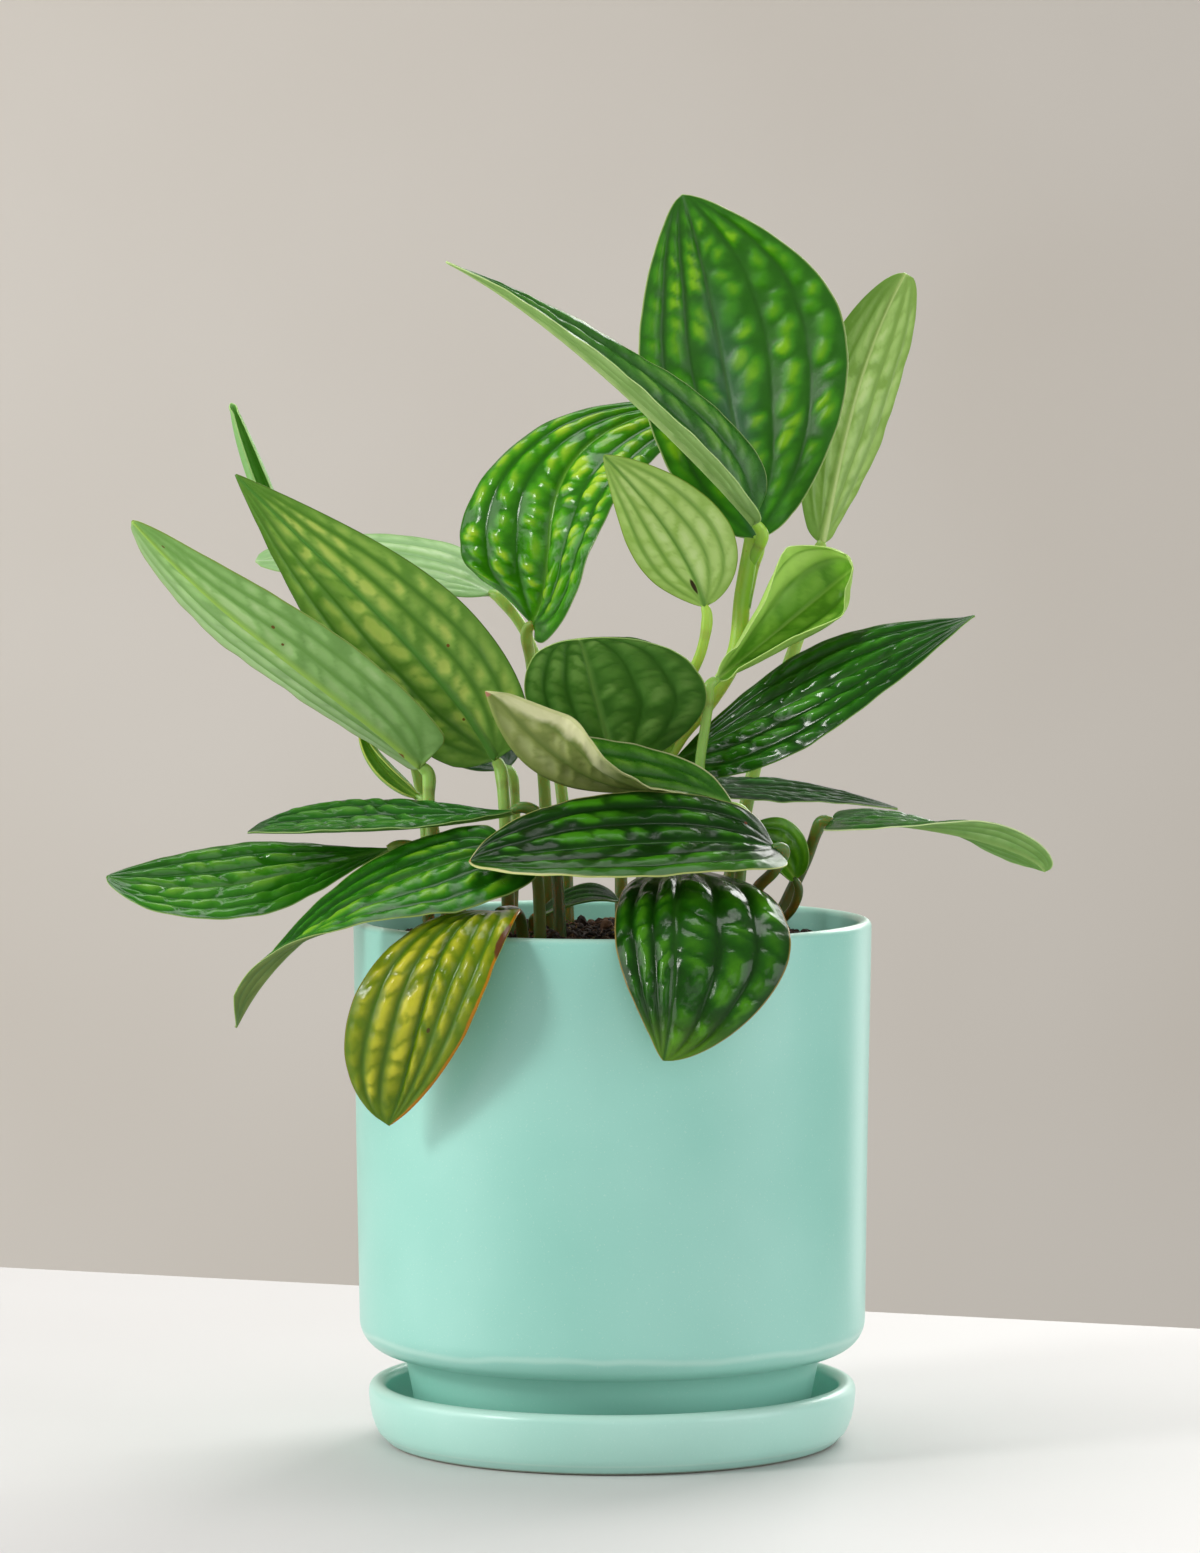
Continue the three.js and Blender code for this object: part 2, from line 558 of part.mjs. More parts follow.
// Points of a branch: the first one of a node is brought to the depth of the roots,
// and the last one stops just short of the leaf's base
function branchPoints (branch, isFirst, deeper) {
  const points = branch.path.map(corner => new THREE.Vector3(...corner))
  if (isFirst) points[0].z = ROOT_DEPTH - deeper
  if (branch.leaf) {
    const rib = LEAVES[branch.leaf].rib
    for (const before of [JOIN_GAP + JOIN_RUN, JOIN_GAP]) {
      points.push(ribPoint(rib, 0).addScaledVector(ribDirection(rib, 0), -before))
    }
  }
  return points
}

function stemSolid (branches) {
  return branches
    .map((branch, i) => toSolid(stemGeometry(branchPoints(branch, i === 0, 0), branch.radius)))
    .reduce((whole, piece) => whole.add(piece))
}

// The hole that a stem stands in: the same stem, a clearance wider on its flats and deeper
function stemHole (branches) {
  const flats = Math.cos(Math.PI / STEM_SIDES)
  const radii = branches[0].radius.map(radius => (radius + CLEARANCE) / flats)
  return toSolid(stemGeometry(branchPoints(branches[0], true, CLEARANCE), radii))
}

function leafMaterial (name) {
  if (name === 'leaf_yellow') return LEAF_YELLOW
  return PALE_LEAVES.includes(name) ? LEAF_PALE : LEAF_GREEN
}

addMesh('saucer', turned(saucerProfile(), ROUND_SIDES), GLAZE)
addMesh('pot', turned(potProfile(), ROUND_SIDES), GLAZE)

const holes = Object.values(STEMS).map(stemHole)
const soil = holes.reduce((whole, hole) => whole.subtract(hole), toSolid(turned(soilProfile(), ROUND_SIDES)))
addMesh('soil', toGeometry(soil), POTTING_MIX)

for (const [name, branches] of Object.entries(STEMS)) {
  addMesh(name, toGeometry(stemSolid(branches)), STEM_GREEN)
}
for (const [name, leaf] of Object.entries(LEAVES)) {
  addMesh(name, bladeGeometry(leaf), leafMaterial(name))
}

export default group
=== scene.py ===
# A potted Monstera karstenianum in a mint glazed pot on its saucer.
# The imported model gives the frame, and this script gives it its finished look.
import math

import bpy
import numpy as np
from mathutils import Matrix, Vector, noise


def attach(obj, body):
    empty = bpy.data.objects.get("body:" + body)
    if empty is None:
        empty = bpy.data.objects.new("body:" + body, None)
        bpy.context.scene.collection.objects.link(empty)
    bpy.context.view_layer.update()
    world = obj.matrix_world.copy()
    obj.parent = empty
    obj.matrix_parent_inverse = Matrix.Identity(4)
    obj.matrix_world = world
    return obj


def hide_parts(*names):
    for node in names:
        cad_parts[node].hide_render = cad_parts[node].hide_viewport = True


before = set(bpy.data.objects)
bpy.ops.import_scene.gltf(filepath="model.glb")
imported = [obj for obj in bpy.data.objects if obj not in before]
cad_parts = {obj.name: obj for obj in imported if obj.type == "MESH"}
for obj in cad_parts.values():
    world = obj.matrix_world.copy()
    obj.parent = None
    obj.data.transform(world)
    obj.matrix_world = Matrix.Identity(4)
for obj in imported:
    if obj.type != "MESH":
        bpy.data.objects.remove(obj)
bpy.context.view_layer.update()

MM = 0.001

# Driving dimensions in millimetres, the same as in the CAD source
POT_RIM_RADIUS = 80
POT_RIM_HEIGHT = 162
POT_WALL = 4
POT_LOW_RADIUS = 78.3
POT_BODY_BOTTOM = 28.5
POT_CORNER_RADIUS = 10
POT_FLOOR = 5.5
FOOT_TOP_RADIUS = 65
FOOT_LOW_RADIUS = 60
FOOT_INNER_RADIUS = 52
DRAIN_RADIUS = 5
SAUCER_RADIUS = 75.4
SAUCER_HEIGHT = 18.9
SAUCER_BASE_RADIUS = 68
SAUCER_WALL = 5.4
SAUCER_FLOOR = 5
SOIL_TOP = 155.5
SOIL_MOUND = 1.5
SOIL_RADIUS = 75.2
SOIL_SKIRT = 132.0
BLADE_THICKNESS = 0.8
BLADE_END_WIDTH = 0.35
LOBE_START = 0.06
ROLL_EASE = (0.1, 3)
JOIN_RUN = 3
JOIN_OVERLAP = 0.8
STEM_DEPTH = 12
STEM_SIDES = 18

# The climbing vine, the stalks in deep shade that get a darker copy of the stalk colour as
# painted shade, and the heights between which all stems are painted darker as shade
VINE = "stem_main"
PAINTED_SHADE_STALKS = ("stem_front", "stem_right", "stem_yellow", "stem_low_mid", "stem_front_low",
               "stem_mid_left")
SHADE_TOP = 205
SHADE_LOW = 170

# What lies loose on the potting mix
CRUMBS = 2300
CHIPS = 520
FIBRES = 150
CRUMB_REACH = 73.5
FIBRE_REACH = 70
FIBRE_LIMIT = 74
SOIL_SEED = 11

# Each leaf: four points of its midrib from base to tip, the way its upper side faces from
# base to tip, then for its left and right half (seen from above, tip ahead) the width,
# where along the leaf it is widest, how far it folds up from the midrib in degrees and
# how far it curls beyond that. blunt gives the roundness of the base and the two tips.
LEAVES = {
    "leaf_top": dict(
        rib=[[45, 13, 279], [38, 30, 315], [31, 36, 352], [22, 32, 386]],
        up=[[0.1, -1, 0.15], [-0.1, -1, 0.1]],
        width=[28, 41], widest=[0.42, 0.52], fold=[[12], [10]], curl=[12, 18],
        blunt=[0.58, 0.68, 0.85], lobe=0.02
    ),
    "leaf_spear": dict(
        rib=[[44, 4, 284], [16, -10, 313], [-17, -16, 342], [-50.5, -18, 364]],
        up=[[0.6, 0, 0.8], [0.6, 0, 0.8]],
        width=[13, 24], widest=[0.42, 0.28], fold=[[22, 15, 10], [50, 28, 14]], curl=[4, 8],
        blunt=[0.55, 0.9, 0.9], lobe=0.02
    ),
    "leaf_back_right": dict(
        rib=[[66, 44, 277], [72, 52, 304], [80, 56, 333], [92.5, 50, 362]],
        up=[[-0.4, 0.9, 0.1], [-0.4, 0.9, 0.1]],
        width=[18, 14], widest=[0.6, 0.5], fold=[[12], [12]], curl=[15, 15],
        blunt=[0.6, 0.5, 0.6], lobe=0.02
    ),
    "leaf_arched": dict(
        rib=[[-25, 27, 252], [-19.5, 21, 276], [-12.5, 27, 302], [22, 46, 320]],
        up=[[-0.3, -1, 0.1], [-0.3, -0.85, 0.5]],
        width=[32, 29], widest=[0.36, 0.5], fold=[[0], [48, 40, 14, 4]], curl=[-20, 10],
        blunt=[0.42, 0.85, 0.45], lobe=0.04
    ),
    "leaf_small_top": dict(
        rib=[[28.5, -6, 258.5], [22, -8, 274], [11, -12, 290], [-2.5, -14, 305]],
        up=[[0, 1, 0.1], [0.1, 1, 0.2]],
        width=[17, 14], widest=[0.36, 0.42], fold=[[8], [8]], curl=[12, 12],
        blunt=[1, 0.85, 0.85], lobe=0, small=True
    ),
    "leaf_young": dict(
        rib=[[32, -8, 236], [49, 2, 249], [65, 6, 262], [74, -2, 270]],
        up=[[-0.2, -1, 0.2], [-0.2, -1, 0.3]],
        width=[26, 20], widest=[0.6, 0.5], fold=[[26, 24, 8, -16], [26, 22, 6, -16]], curl=[96, 76],
        blunt=[0.8, 0.6, 0.6], lobe=0, small=True
    ),
    "leaf_right": dict(
        rib=[[19, 10, 210], [46, -2, 224], [78, -12, 240], [111, -12, 256]],
        up=[[-0.2, -0.75, 0.6], [-0.3, -0.5, 0.8]],
        width=[16, 20], widest=[0.56, 0.42], fold=[[8], [6]], curl=[10, -14],
        blunt=[0.95, 1.1, 1.1], lobe=0.02
    ),
    "leaf_low_back": dict(
        rib=[[16, 11, 201], [38, 16, 200.5], [62, 18, 199], [89, 16, 195]],
        up=[[0, -0.12, 1], [0.1, -0.12, 1]],
        width=[19, 18], widest=[0.42, 0.42], fold=[[6], [6]], curl=[-8, -8],
        blunt=[0.6, 0.85, 0.85], lobe=0.02
    ),
    "leaf_far_right": dict(
        rib=[[67, -12, 193], [91, -20, 192.5], [117, -26, 187], [132, -26, 178.5]],
        up=[[0, -0.42, 1], [0.1, -0.05, 0.95], [0.2, 0.36, 0.85], [0.3, 0.5, 0.75]],
        width=[14, 18], widest=[0.44, 0.44], fold=[[6], [6]], curl=[-8, -8],
        blunt=[0.5, 0.72, 0.62], lobe=0.06
    ),
    "leaf_small_low": dict(
        rib=[[56, -14, 175], [51, -12, 181], [44, -6, 184], [36, 0, 185]],
        up=[[0, -0.7, 0.7], [0, -0.5, 0.9]],
        width=[11, 12], widest=[0.45, 0.45], fold=[[20], [20]], curl=[50, 50],
        blunt=[0.6, 0.85, 0.85], lobe=0, small=True
    ),
    "leaf_heart": dict(
        rib=[[3, 8, 208], [-3, -8, 224], [-7, -26, 240], [-10, -44, 250]],
        up=[[0, 0.9, 0.4], [0, 0.6, 0.8]],
        width=[33.5, 21], widest=[0.45, 0.5], fold=[[6], [6]], curl=[-14, -14],
        blunt=[0.6, 0.5, 0.5], lobe=0.02
    ),
    "leaf_left": dict(
        rib=[[-59, 0, 209], [-88, -6, 233], [-118, -10, 257], [-147, -10, 285]],
        up=[[0.3, 0.7, 0.5], [0.3, 0.8, 0.4]],
        width=[17, 14], widest=[0.34, 0.6], fold=[[10], [10]], curl=[10, 10],
        blunt=[0.36, 0.7, 0.6], lobe=0.06
    ),
    "leaf_left_big": dict(
        rib=[[-36, 4, 211], [-56, 2, 239], [-84, 2, 268], [-116, 2, 299]],
        up=[[0.2, 0.9, 0.1], [0.2, 0.9, 0.2]],
        width=[21, 25], widest=[0.36, 0.42], fold=[[8], [8]], curl=[8, 8],
        blunt=[0.5, 0.9, 1], lobe=0.02
    ),
    "leaf_furled_back": dict(
        rib=[[-98, 16, 268], [-106, 16, 285], [-113, 16, 303], [-118, 14, 321]],
        up=[[0.3, -0.9, 0.1], [0.3, -0.9, 0.1]],
        width=[8, 8], widest=[0.45, 0.45], fold=[[30], [30]], curl=[90, 90],
        blunt=[0.6, 0.6, 0.6], lobe=0, small=True
    ),
    "leaf_back": dict(
        rib=[[-38, 52, 261], [-58, 58, 268], [-84, 60, 271], [-113, 58, 271]],
        up=[[0, -0.4, 0.9], [0, -0.5, 0.9]],
        width=[17, 18], widest=[0.42, 0.42], fold=[[8], [8]], curl=[-8, -8],
        blunt=[0.6, 0.5, 0.5], lobe=0, small=True
    ),
    "leaf_cream": dict(
        rib=[[37, -20, 198], [10, -22, 203], [-18, -30, 207], [-38, -38, 234]],
        up=[[0, -0.3, 0.95], [0.8, 0.35, 0.3]],
        width=[21, 23], widest=[0.7, 0.6], fold=[[0, 10, 46, 76], [30, 26, 20, 20]], curl=[10, 25],
        blunt=[0.6, 0.6, 0.6], lobe=0
    ),
    "leaf_front": dict(
        rib=[[49, -46, 187], [22, -53, 189], [-13, -57, 187], [-43, -56, 183.5]],
        up=[[0, -0.4, 0.9], [0, -0.4, 0.9]],
        width=[27, 27], widest=[0.45, 0.5], fold=[[6], [6]], curl=[4, 4],
        blunt=[0.26, 0.75, 0.62], lobe=0
    ),
    "leaf_front_low": dict(
        rib=[[20, -30, 180], [19, -77, 171.5], [18, -94, 150], [15, -94, 127.5]],
        up=[[0, 0.1, 1], [-0.1, -1, 0.1]],
        width=[34, 18.5], widest=[0.46, 0.4], fold=[[-4], [-6]], curl=[-14, -10],
        blunt=[0.4, 0.75, 0.85], lobe=0.02
    ),
    "leaf_yellow": dict(
        rib=[[-34, -50, 168], [-49.5, -77, 159.5], [-58.5, -78, 133], [-67, -64, 105]],
        up=[[-0.2, -0.4, 0.9], [0, -1, 0.1]],
        width=[18, 21], widest=[0.38, 0.66], fold=[[4], [6]], curl=[6, -8],
        blunt=[0.6, 0.95, 0.55], lobe=0.02
    ),
    "leaf_low_left": dict(
        rib=[[-31, -38, 187], [-57, -50, 180], [-88, -58, 164], [-113, -60, 134]],
        up=[[0, -0.6, 0.8], [-0.2, -0.6, 0.7], [-0.4, -0.5, 0.65], [-0.5, -0.3, 0.6]],
        width=[25, 13], widest=[0.33, 0.3], fold=[[4, 4, 24, 72], [4]], curl=[4, 4],
        blunt=[0.42, 0.6, 0.85], lobe=0.03
    ),
    "leaf_far_left": dict(
        rib=[[-68, -18, 185], [-94, -22, 178], [-124, -26, 173], [-154, -28, 177]],
        up=[[0.1, -0.5, 0.8], [0, -0.5, 0.85]],
        width=[21, 18], widest=[0.58, 0.58], fold=[[6], [6]], curl=[6, 6],
        blunt=[1, 0.7, 0.75], lobe=0
    ),
    "leaf_mid_left": dict(
        rib=[[-30, -22, 197], [-56, -26, 193], [-84, -28, 191.5], [-111, -26, 190.5]],
        up=[[0, -0.12, 1], [0, -0.14, 1]],
        width=[22, 22], widest=[0.55, 0.55], fold=[[8], [10]], curl=[4, 4],
        blunt=[0.9, 0.55, 0.55], lobe=0
    ),
    "leaf_furled_left": dict(
        rib=[[-60, 9, 199], [-67, 11, 204], [-74, 12, 212], [-78, 11, 223]],
        up=[[-0.2, -0.9, 0.2], [-0.2, -0.9, 0.2]],
        width=[6, 6], widest=[0.45, 0.45], fold=[[30], [30]], curl=[80, 80],
        blunt=[0.6, 0.8, 0.8], lobe=0, small=True
    ),
    "leaf_behind": dict(
        rib=[[-33, 26, 207], [-40, 32, 212], [-48, 36, 218], [-56, 38, 227]],
        up=[[0, -0.6, 0.8], [0, -0.6, 0.8]],
        width=[12, 12], widest=[0.42, 0.42], fold=[[6], [6]], curl=[4, 4],
        blunt=[0.6, 0.85, 0.85], lobe=0, small=True
    ),
    "leaf_low_mid": dict(
        rib=[[-22, 2, 163], [-14, -2, 167], [-6, -6, 169], [2, -10, 168]],
        up=[[0, -0.4, 0.9], [0.2, -0.4, 0.9]],
        width=[8, 8], widest=[0.42, 0.42], fold=[[8], [8]], curl=[8, 8],
        blunt=[0.6, 0.85, 0.85], lobe=0, small=True
    ),
}

# Each stem: its branches, each with the points of its centre line, its radius at both ends
# and the leaf that it carries
STEMS = {
    "stem_main": [
        dict(path=[[10, 6, 0], [10.5, 6, 160], [12, 6, 200], [20, 8, 217], [30, 8, 229], [38, 6, 243],
                   [40.5, 7, 262], [43.5, 9, 279]], radius=[3.2, 2.6]),
        dict(path=[[41, 6.5, 258], [44, 10.5, 271]], radius=[1.9, 1.6], leaf="leaf_top"),
        dict(path=[[42, 8, 270], [46.5, 5.5, 280]], radius=[1.9, 1.6], leaf="leaf_spear"),
        dict(path=[[16.5, 7, 211.5], [22, 0, 232], [27.5, -5, 245]], radius=[1.9, 1.5],
             leaf="leaf_small_top"),
        dict(path=[[12.5, 6, 201], [14.5, 9.5, 207]], radius=[1.9, 1.6], leaf="leaf_right"),
        dict(path=[[11.2, 6, 188], [11.5, 10, 197]], radius=[1.9, 1.6], leaf="leaf_low_back")
    ],
    "stem_young": [
        dict(path=[[28, -8, 0], [28, -8, 160], [26.5, -8, 190], [27, -7.5, 210], [29.5, -7.8, 228]],
             radius=[1.8, 1.5], leaf="leaf_young")
    ],
    "stem_back_right": [
        dict(path=[[34, 42, 0], [35, 42, 160], [40, 43, 182], [45, 44, 206], [51, 44, 226], [58, 44, 245],
                   [63, 44, 262]], radius=[2.5, 1.9], leaf="leaf_back_right")
    ],
    "stem_arched": [
        dict(path=[[-20, 22, 0], [-20, 22, 160], [-21, 24, 200], [-25, 29, 238]], radius=[2.2, 1.7],
             leaf="leaf_arched")
    ],
    "stem_heart": [
        dict(path=[[3, 15, 0], [3, 15, 160], [3, 17, 188], [4.5, 13, 202]], radius=[2.2, 1.7],
             leaf="leaf_heart")
    ],
    "stem_left": [
        dict(path=[[-50, 2, 0], [-50.5, 2, 160], [-54, 1, 182], [-56.5, 0, 198]], radius=[2.2, 1.8],
             leaf="leaf_left")
    ],
    "stem_left_big": [
        dict(path=[[-32, 2, 0], [-32, 2, 160], [-32.5, 1, 180], [-33.5, 2, 200]], radius=[2.2, 1.8],
             leaf="leaf_left_big")
    ],
    "stem_furled": [
        dict(path=[[-57, 13, 0], [-57, 13, 160], [-59, 15, 198], [-68, 19, 228], [-84, 19, 252]],
             radius=[2, 1.4], leaf="leaf_furled_back"),
        dict(path=[[-57.4, 13.4, 178], [-56.5, 9.5, 192]], radius=[1.5, 1.2], leaf="leaf_furled_left")
    ],
    "stem_back": [
        dict(path=[[-14, 42, 0], [-14, 42, 160], [-16, 45, 200], [-26, 50, 246]], radius=[2.2, 1.6],
             leaf="leaf_back")
    ],
    "stem_behind": [
        dict(path=[[-31, 17, 0], [-31, 17, 160], [-30, 20, 192]], radius=[1.8, 1.4], leaf="leaf_behind")
    ],
    "stem_low_mid": [
        dict(path=[[-24, 6, 0], [-24, 5, 157]], radius=[1.5, 1.2], leaf="leaf_low_mid")
    ],
    "stem_right": [
        dict(path=[[49, -6, 0], [49.5, -5, 158], [54, -4, 168], [60, -5, 181], [63, -9.5, 190]],
             radius=[2.1, 1.7], leaf="leaf_far_right"),
        dict(path=[[50, -5.2, 160], [55.5, -11, 166]], radius=[1.5, 1.2],
             leaf="leaf_small_low")
    ],
    "stem_cream": [
        dict(path=[[38, -22, 0], [38, -22, 160], [40, -20, 185], [41, -20, 194]], radius=[2, 1.6],
             leaf="leaf_cream")
    ],
    "stem_front": [
        dict(path=[[43, -36, 0], [43, -36, 160], [43.5, -37, 173], [49, -43, 180]], radius=[2, 1.7],
             leaf="leaf_front")
    ],
    "stem_front_low": [
        dict(path=[[20, -14, 0], [20, -14, 160], [20, -14, 174], [20, -20, 181]], radius=[2, 1.7],
             leaf="leaf_front_low")
    ],
    "stem_yellow": [
        dict(path=[[-27, -37, 0], [-27, -37, 158], [-28.5, -41, 166.5]], radius=[2, 1.7],
             leaf="leaf_yellow")
    ],
    "stem_low_left": [
        dict(path=[[-22, -26, 0], [-22, -26, 160], [-23, -29, 178], [-26, -35, 187]], radius=[2, 1.7],
             leaf="leaf_low_left")
    ],
    "stem_far_left": [
        dict(path=[[-46, -12, 0], [-46, -12, 160], [-49, -13, 174], [-58, -16, 184]], radius=[2, 1.6],
             leaf="leaf_far_left")
    ],
    "stem_mid_left": [
        dict(path=[[-16, -14, 0], [-16, -14, 160], [-18, -16, 184], [-23, -20, 196]], radius=[2, 1.6],
             leaf="leaf_mid_left")
    ],
}


# Leaf shape: the same formula as the CAD source, worked out for whole grids of points

def unit(vectors):
    return vectors / np.linalg.norm(vectors, axis=-1, keepdims=True)


def smooth(low, high, values):
    share = np.clip((values - low) / (high - low), 0, 1)
    return share * share * (3 - 2 * share)


def rib_points(rib, t):
    weights = np.stack([
        (1 - 3 * t) * (2 - 3 * t) * (1 - t) / 2,
        9 * t * (2 - 3 * t) * (1 - t) / 2,
        -9 * t * (1 - 3 * t) * (1 - t) / 2,
        t * (1 - 3 * t) * (2 - 3 * t) / 2
    ], axis=-1)
    return weights @ np.array(rib, dtype=float)


def rib_directions(rib, t):
    return unit(rib_points(rib, t + 0.001) - rib_points(rib, t - 0.001))


def rib_length(rib):
    points = rib_points(rib, np.linspace(0, 1, 21))
    return float(np.linalg.norm(np.diff(points, axis=0), axis=1).sum())


def half_outline(leaf, side, t):
    stretched = t ** (math.log(0.5) / math.log(leaf["widest"][side]))
    swell = np.maximum(0, np.sin(np.pi * stretched))
    power = np.where(stretched < 0.5, leaf["blunt"][0], leaf["blunt"][1 + side])
    return swell ** power


def blade_frames(leaf, t, across):
    """Points of the blade's middle surface, the way its upper side faces there,
    and the width of the half that each point is on."""
    length = rib_length(leaf["rib"])
    share = np.abs(across)
    ahead = rib_directions(leaf["rib"], t)
    facing = unit(np.array(leaf["up"], dtype=float))
    stations = np.linspace(0, 1, len(facing))
    up = np.stack([np.interp(t, stations, facing[:, axis]) for axis in range(3)], axis=-1)
    up = unit(up - ahead * np.sum(up * ahead, axis=-1, keepdims=True))
    right = np.cross(ahead, up)
    halves = []
    for side, sign in ((0, -1), (1, 1)):
        folds = np.radians(leaf["fold"][side])
        places = np.linspace(0, 1, len(folds)) if len(folds) > 1 else np.array([0.0])
        outline = half_outline(leaf, side, t)
        width = leaf["width"][side] * outline + BLADE_END_WIDTH
        ease = np.minimum(1, ROLL_EASE[0] + ROLL_EASE[1] * outline)
        fold = ease * np.interp(t, places, folds)
        curl = ease * math.radians(leaf["curl"][side])
        slope = fold + curl * share
        outward = width * (np.sin(slope) - np.sin(fold)) / curl
        upward = width * (np.cos(fold) - np.cos(slope)) / curl
        face = up * np.cos(slope)[..., None] - sign * right * np.sin(slope)[..., None]
        halves.append((sign * outward, upward, face, width))
    is_left = across < 0
    outward = np.where(is_left, halves[0][0], halves[1][0])
    upward = np.where(is_left, halves[0][1], halves[1][1])
    face = np.where(is_left[..., None], halves[0][2], halves[1][2])
    width = np.where(is_left, halves[0][3], halves[1][3])
    lobe = np.maximum(0, 1 - 3 * t) ** 2 * np.minimum(1, t / LOBE_START)
    back = -leaf["lobe"] * length * share ** 1.5 * lobe
    points = rib_points(leaf["rib"], t) + right * outward[..., None]
    points += up * upward[..., None] + ahead * back[..., None]
    return points, face, width


# Mesh building

def new_piece(name, vertices, faces, is_smooth=True, **masks):
    """A mesh object from vertices in metres, with a value at each vertex for every mask."""
    mesh = bpy.data.meshes.new(name)
    mesh.from_pydata(vertices, [], faces)
    mesh.polygons.foreach_set("use_smooth", np.full(len(faces), is_smooth))
    for mask, values in masks.items():
        layer = mesh.attributes.new(mask, "FLOAT", "POINT")
        layer.data.foreach_set("value", np.array(values, dtype=np.float32))
    mesh.update()
    piece = bpy.data.objects.new(name, mesh)
    bpy.context.scene.collection.objects.link(piece)
    return piece


def add_part(vertices, faces, part, part_faces):
    """Adds a part's vertices and faces to lists that may already hold others."""
    start = len(vertices)
    vertices.extend(part)
    faces.extend(tuple(i + start for i in face) for face in part_faces)


def ring_faces(first, second, count):
    """Quads between two rings of count vertices that start at the given numbers."""
    return [(first + i, second + i, second + (i + 1) % count, first + (i + 1) % count)
            for i in range(count)]


# Leaf relief in millimetres: long veins that leave the midrib near the base and run to the
# tip, with a row of puckers in each strip between two of them

STRIPS = 3
VEIN_REACH = 1.5
MARGIN_REACH = 2.4
PUCKER_HEIGHT = 1.4
QUILTING_HEIGHT = 0.1
VEIN_DEPTH = 0.16
CROSS_VEIN_DEPTH = 0.06
VEIN_RIDGE = 0.32
GROOVE_DEPTH = 0.45
RIB_SIZE = 1.25
SMALL_RIB_SIZE = 0.9
BLADE_GRID = (104, 76)
SMALL_BLADE_GRID = (64, 44)
UV_UNIT = 100
FAR = 99.0


def hash_share(a, b, seed):
    """A fixed pseudo-random number from 0 to 1 for each pair of whole numbers."""
    mixed = np.sin(a * 127.1 + b * 311.7 + seed * 74.7) * 43758.5453
    return mixed - np.floor(mixed)


def smooth_wave(values, seed):
    """A slow irregular wave from -1 to 1."""
    return (np.sin(values + seed * 1.7) + 0.6 * np.sin(values * 2.3 + seed * 3.1)
            + 0.4 * np.sin(values * 4.1 + seed * 0.9)) / 2


def drift(t, across, seed):
    """A slow irregular field over the blade, from about -1 to 1."""
    return (np.sin(7.3 * t + 2.1 * across + seed)
            + 0.7 * np.sin(4.7 * across - 11.9 * t + 2.3 * seed)
            + 0.5 * np.sin(19.7 * t + 6.1 * across + 4.1 * seed)) / 2.2


def bell(distance, reach):
    """Falls smoothly from 1 at a line or point to 0 beyond its reach."""
    return np.exp(-(distance / reach) ** 2)


def valley(distance, reach):
    """Rises from 0 at a vein to 1 away from it."""
    return 1 - np.exp(-(np.maximum(distance, 0) / reach) ** 1.5)


def long_veins(t, across, seed):
    """Where the veins on the inner and outer side of each point run, as shares of the half's
    width, and the number of the strip between them, counted from the midrib."""
    share = np.abs(across)
    sway = 0.03 * drift(t, 0.4 * across, seed) * smooth(0.02, 0.3, t)
    inner = np.zeros_like(t)
    outer = np.ones_like(t)
    strip = np.zeros_like(t)
    for vein in range(1, STRIPS):
        run = 0.035 + 0.12 * (STRIPS - vein) / STRIPS
        place = (vein / STRIPS) ** 0.9 * (1 - np.exp(-(t + 0.012) / run)) + sway
        past = share >= place
        inner = np.where(past, place, inner)
        outer = np.where(past, outer, np.minimum(outer, place))
        strip = strip + past
    return inner, outer, strip


def pucker_cells(t, across, across_strip, strip, strip_width, length, look, seed):
    """A zigzag row of cells in each strip, with a pucker in the middle of every cell: how far
    it rises at each point, how bright its painted light is, and how far away the next cell is."""
    cell_length = length / look["cells"]
    side = np.where(across < 0, 0, 1)
    row = strip + 9 * side
    lean_size = 0.2 * np.clip(strip_width / cell_length - 0.6, 0.2, 1)
    phase = t * look["cells"] - look["slant"] * across_strip + strip * 0.37 + side * 0.21
    phase = phase + 0.5 * drift(1.7 * t, across, seed + 2) + 0.16 * drift(9 * t, 7 * across, seed + 4)
    nearest = np.full_like(t, FAR)
    second = np.full_like(t, FAR)
    domes = np.zeros_like(t)
    bright = np.zeros_like(t)
    for step in range(-2, 3):
        cell = np.floor(phase) + step
        lean = np.where(np.mod(cell, 2) < 0.5, -1, 1)
        centre_across = 0.5 + lean * lean_size * (0.55 + 0.45 * hash_share(cell, row, seed + 3))
        centre_along = cell + 0.5 + 0.45 * (hash_share(cell, row, seed + 5) - 0.5)
        away = np.hypot((across_strip - centre_across) * strip_width * 0.7,
                        (phase - centre_along) * cell_length)
        closer = away < nearest
        second = np.where(closer, nearest, np.minimum(second, away))
        nearest = np.where(closer, away, nearest)
        dome = bell(away, (0.42 + 0.2 * hash_share(cell, row, seed + 6)) * cell_length)
        domes = domes + dome
        bright = bright + dome * hash_share(cell, row, seed + 8)
    border = (second - nearest) / cell_length
    domes = smooth(0.2, 1.15, domes) * (0.5 + 0.5 * valley(border, 0.35))
    return domes, bright, border


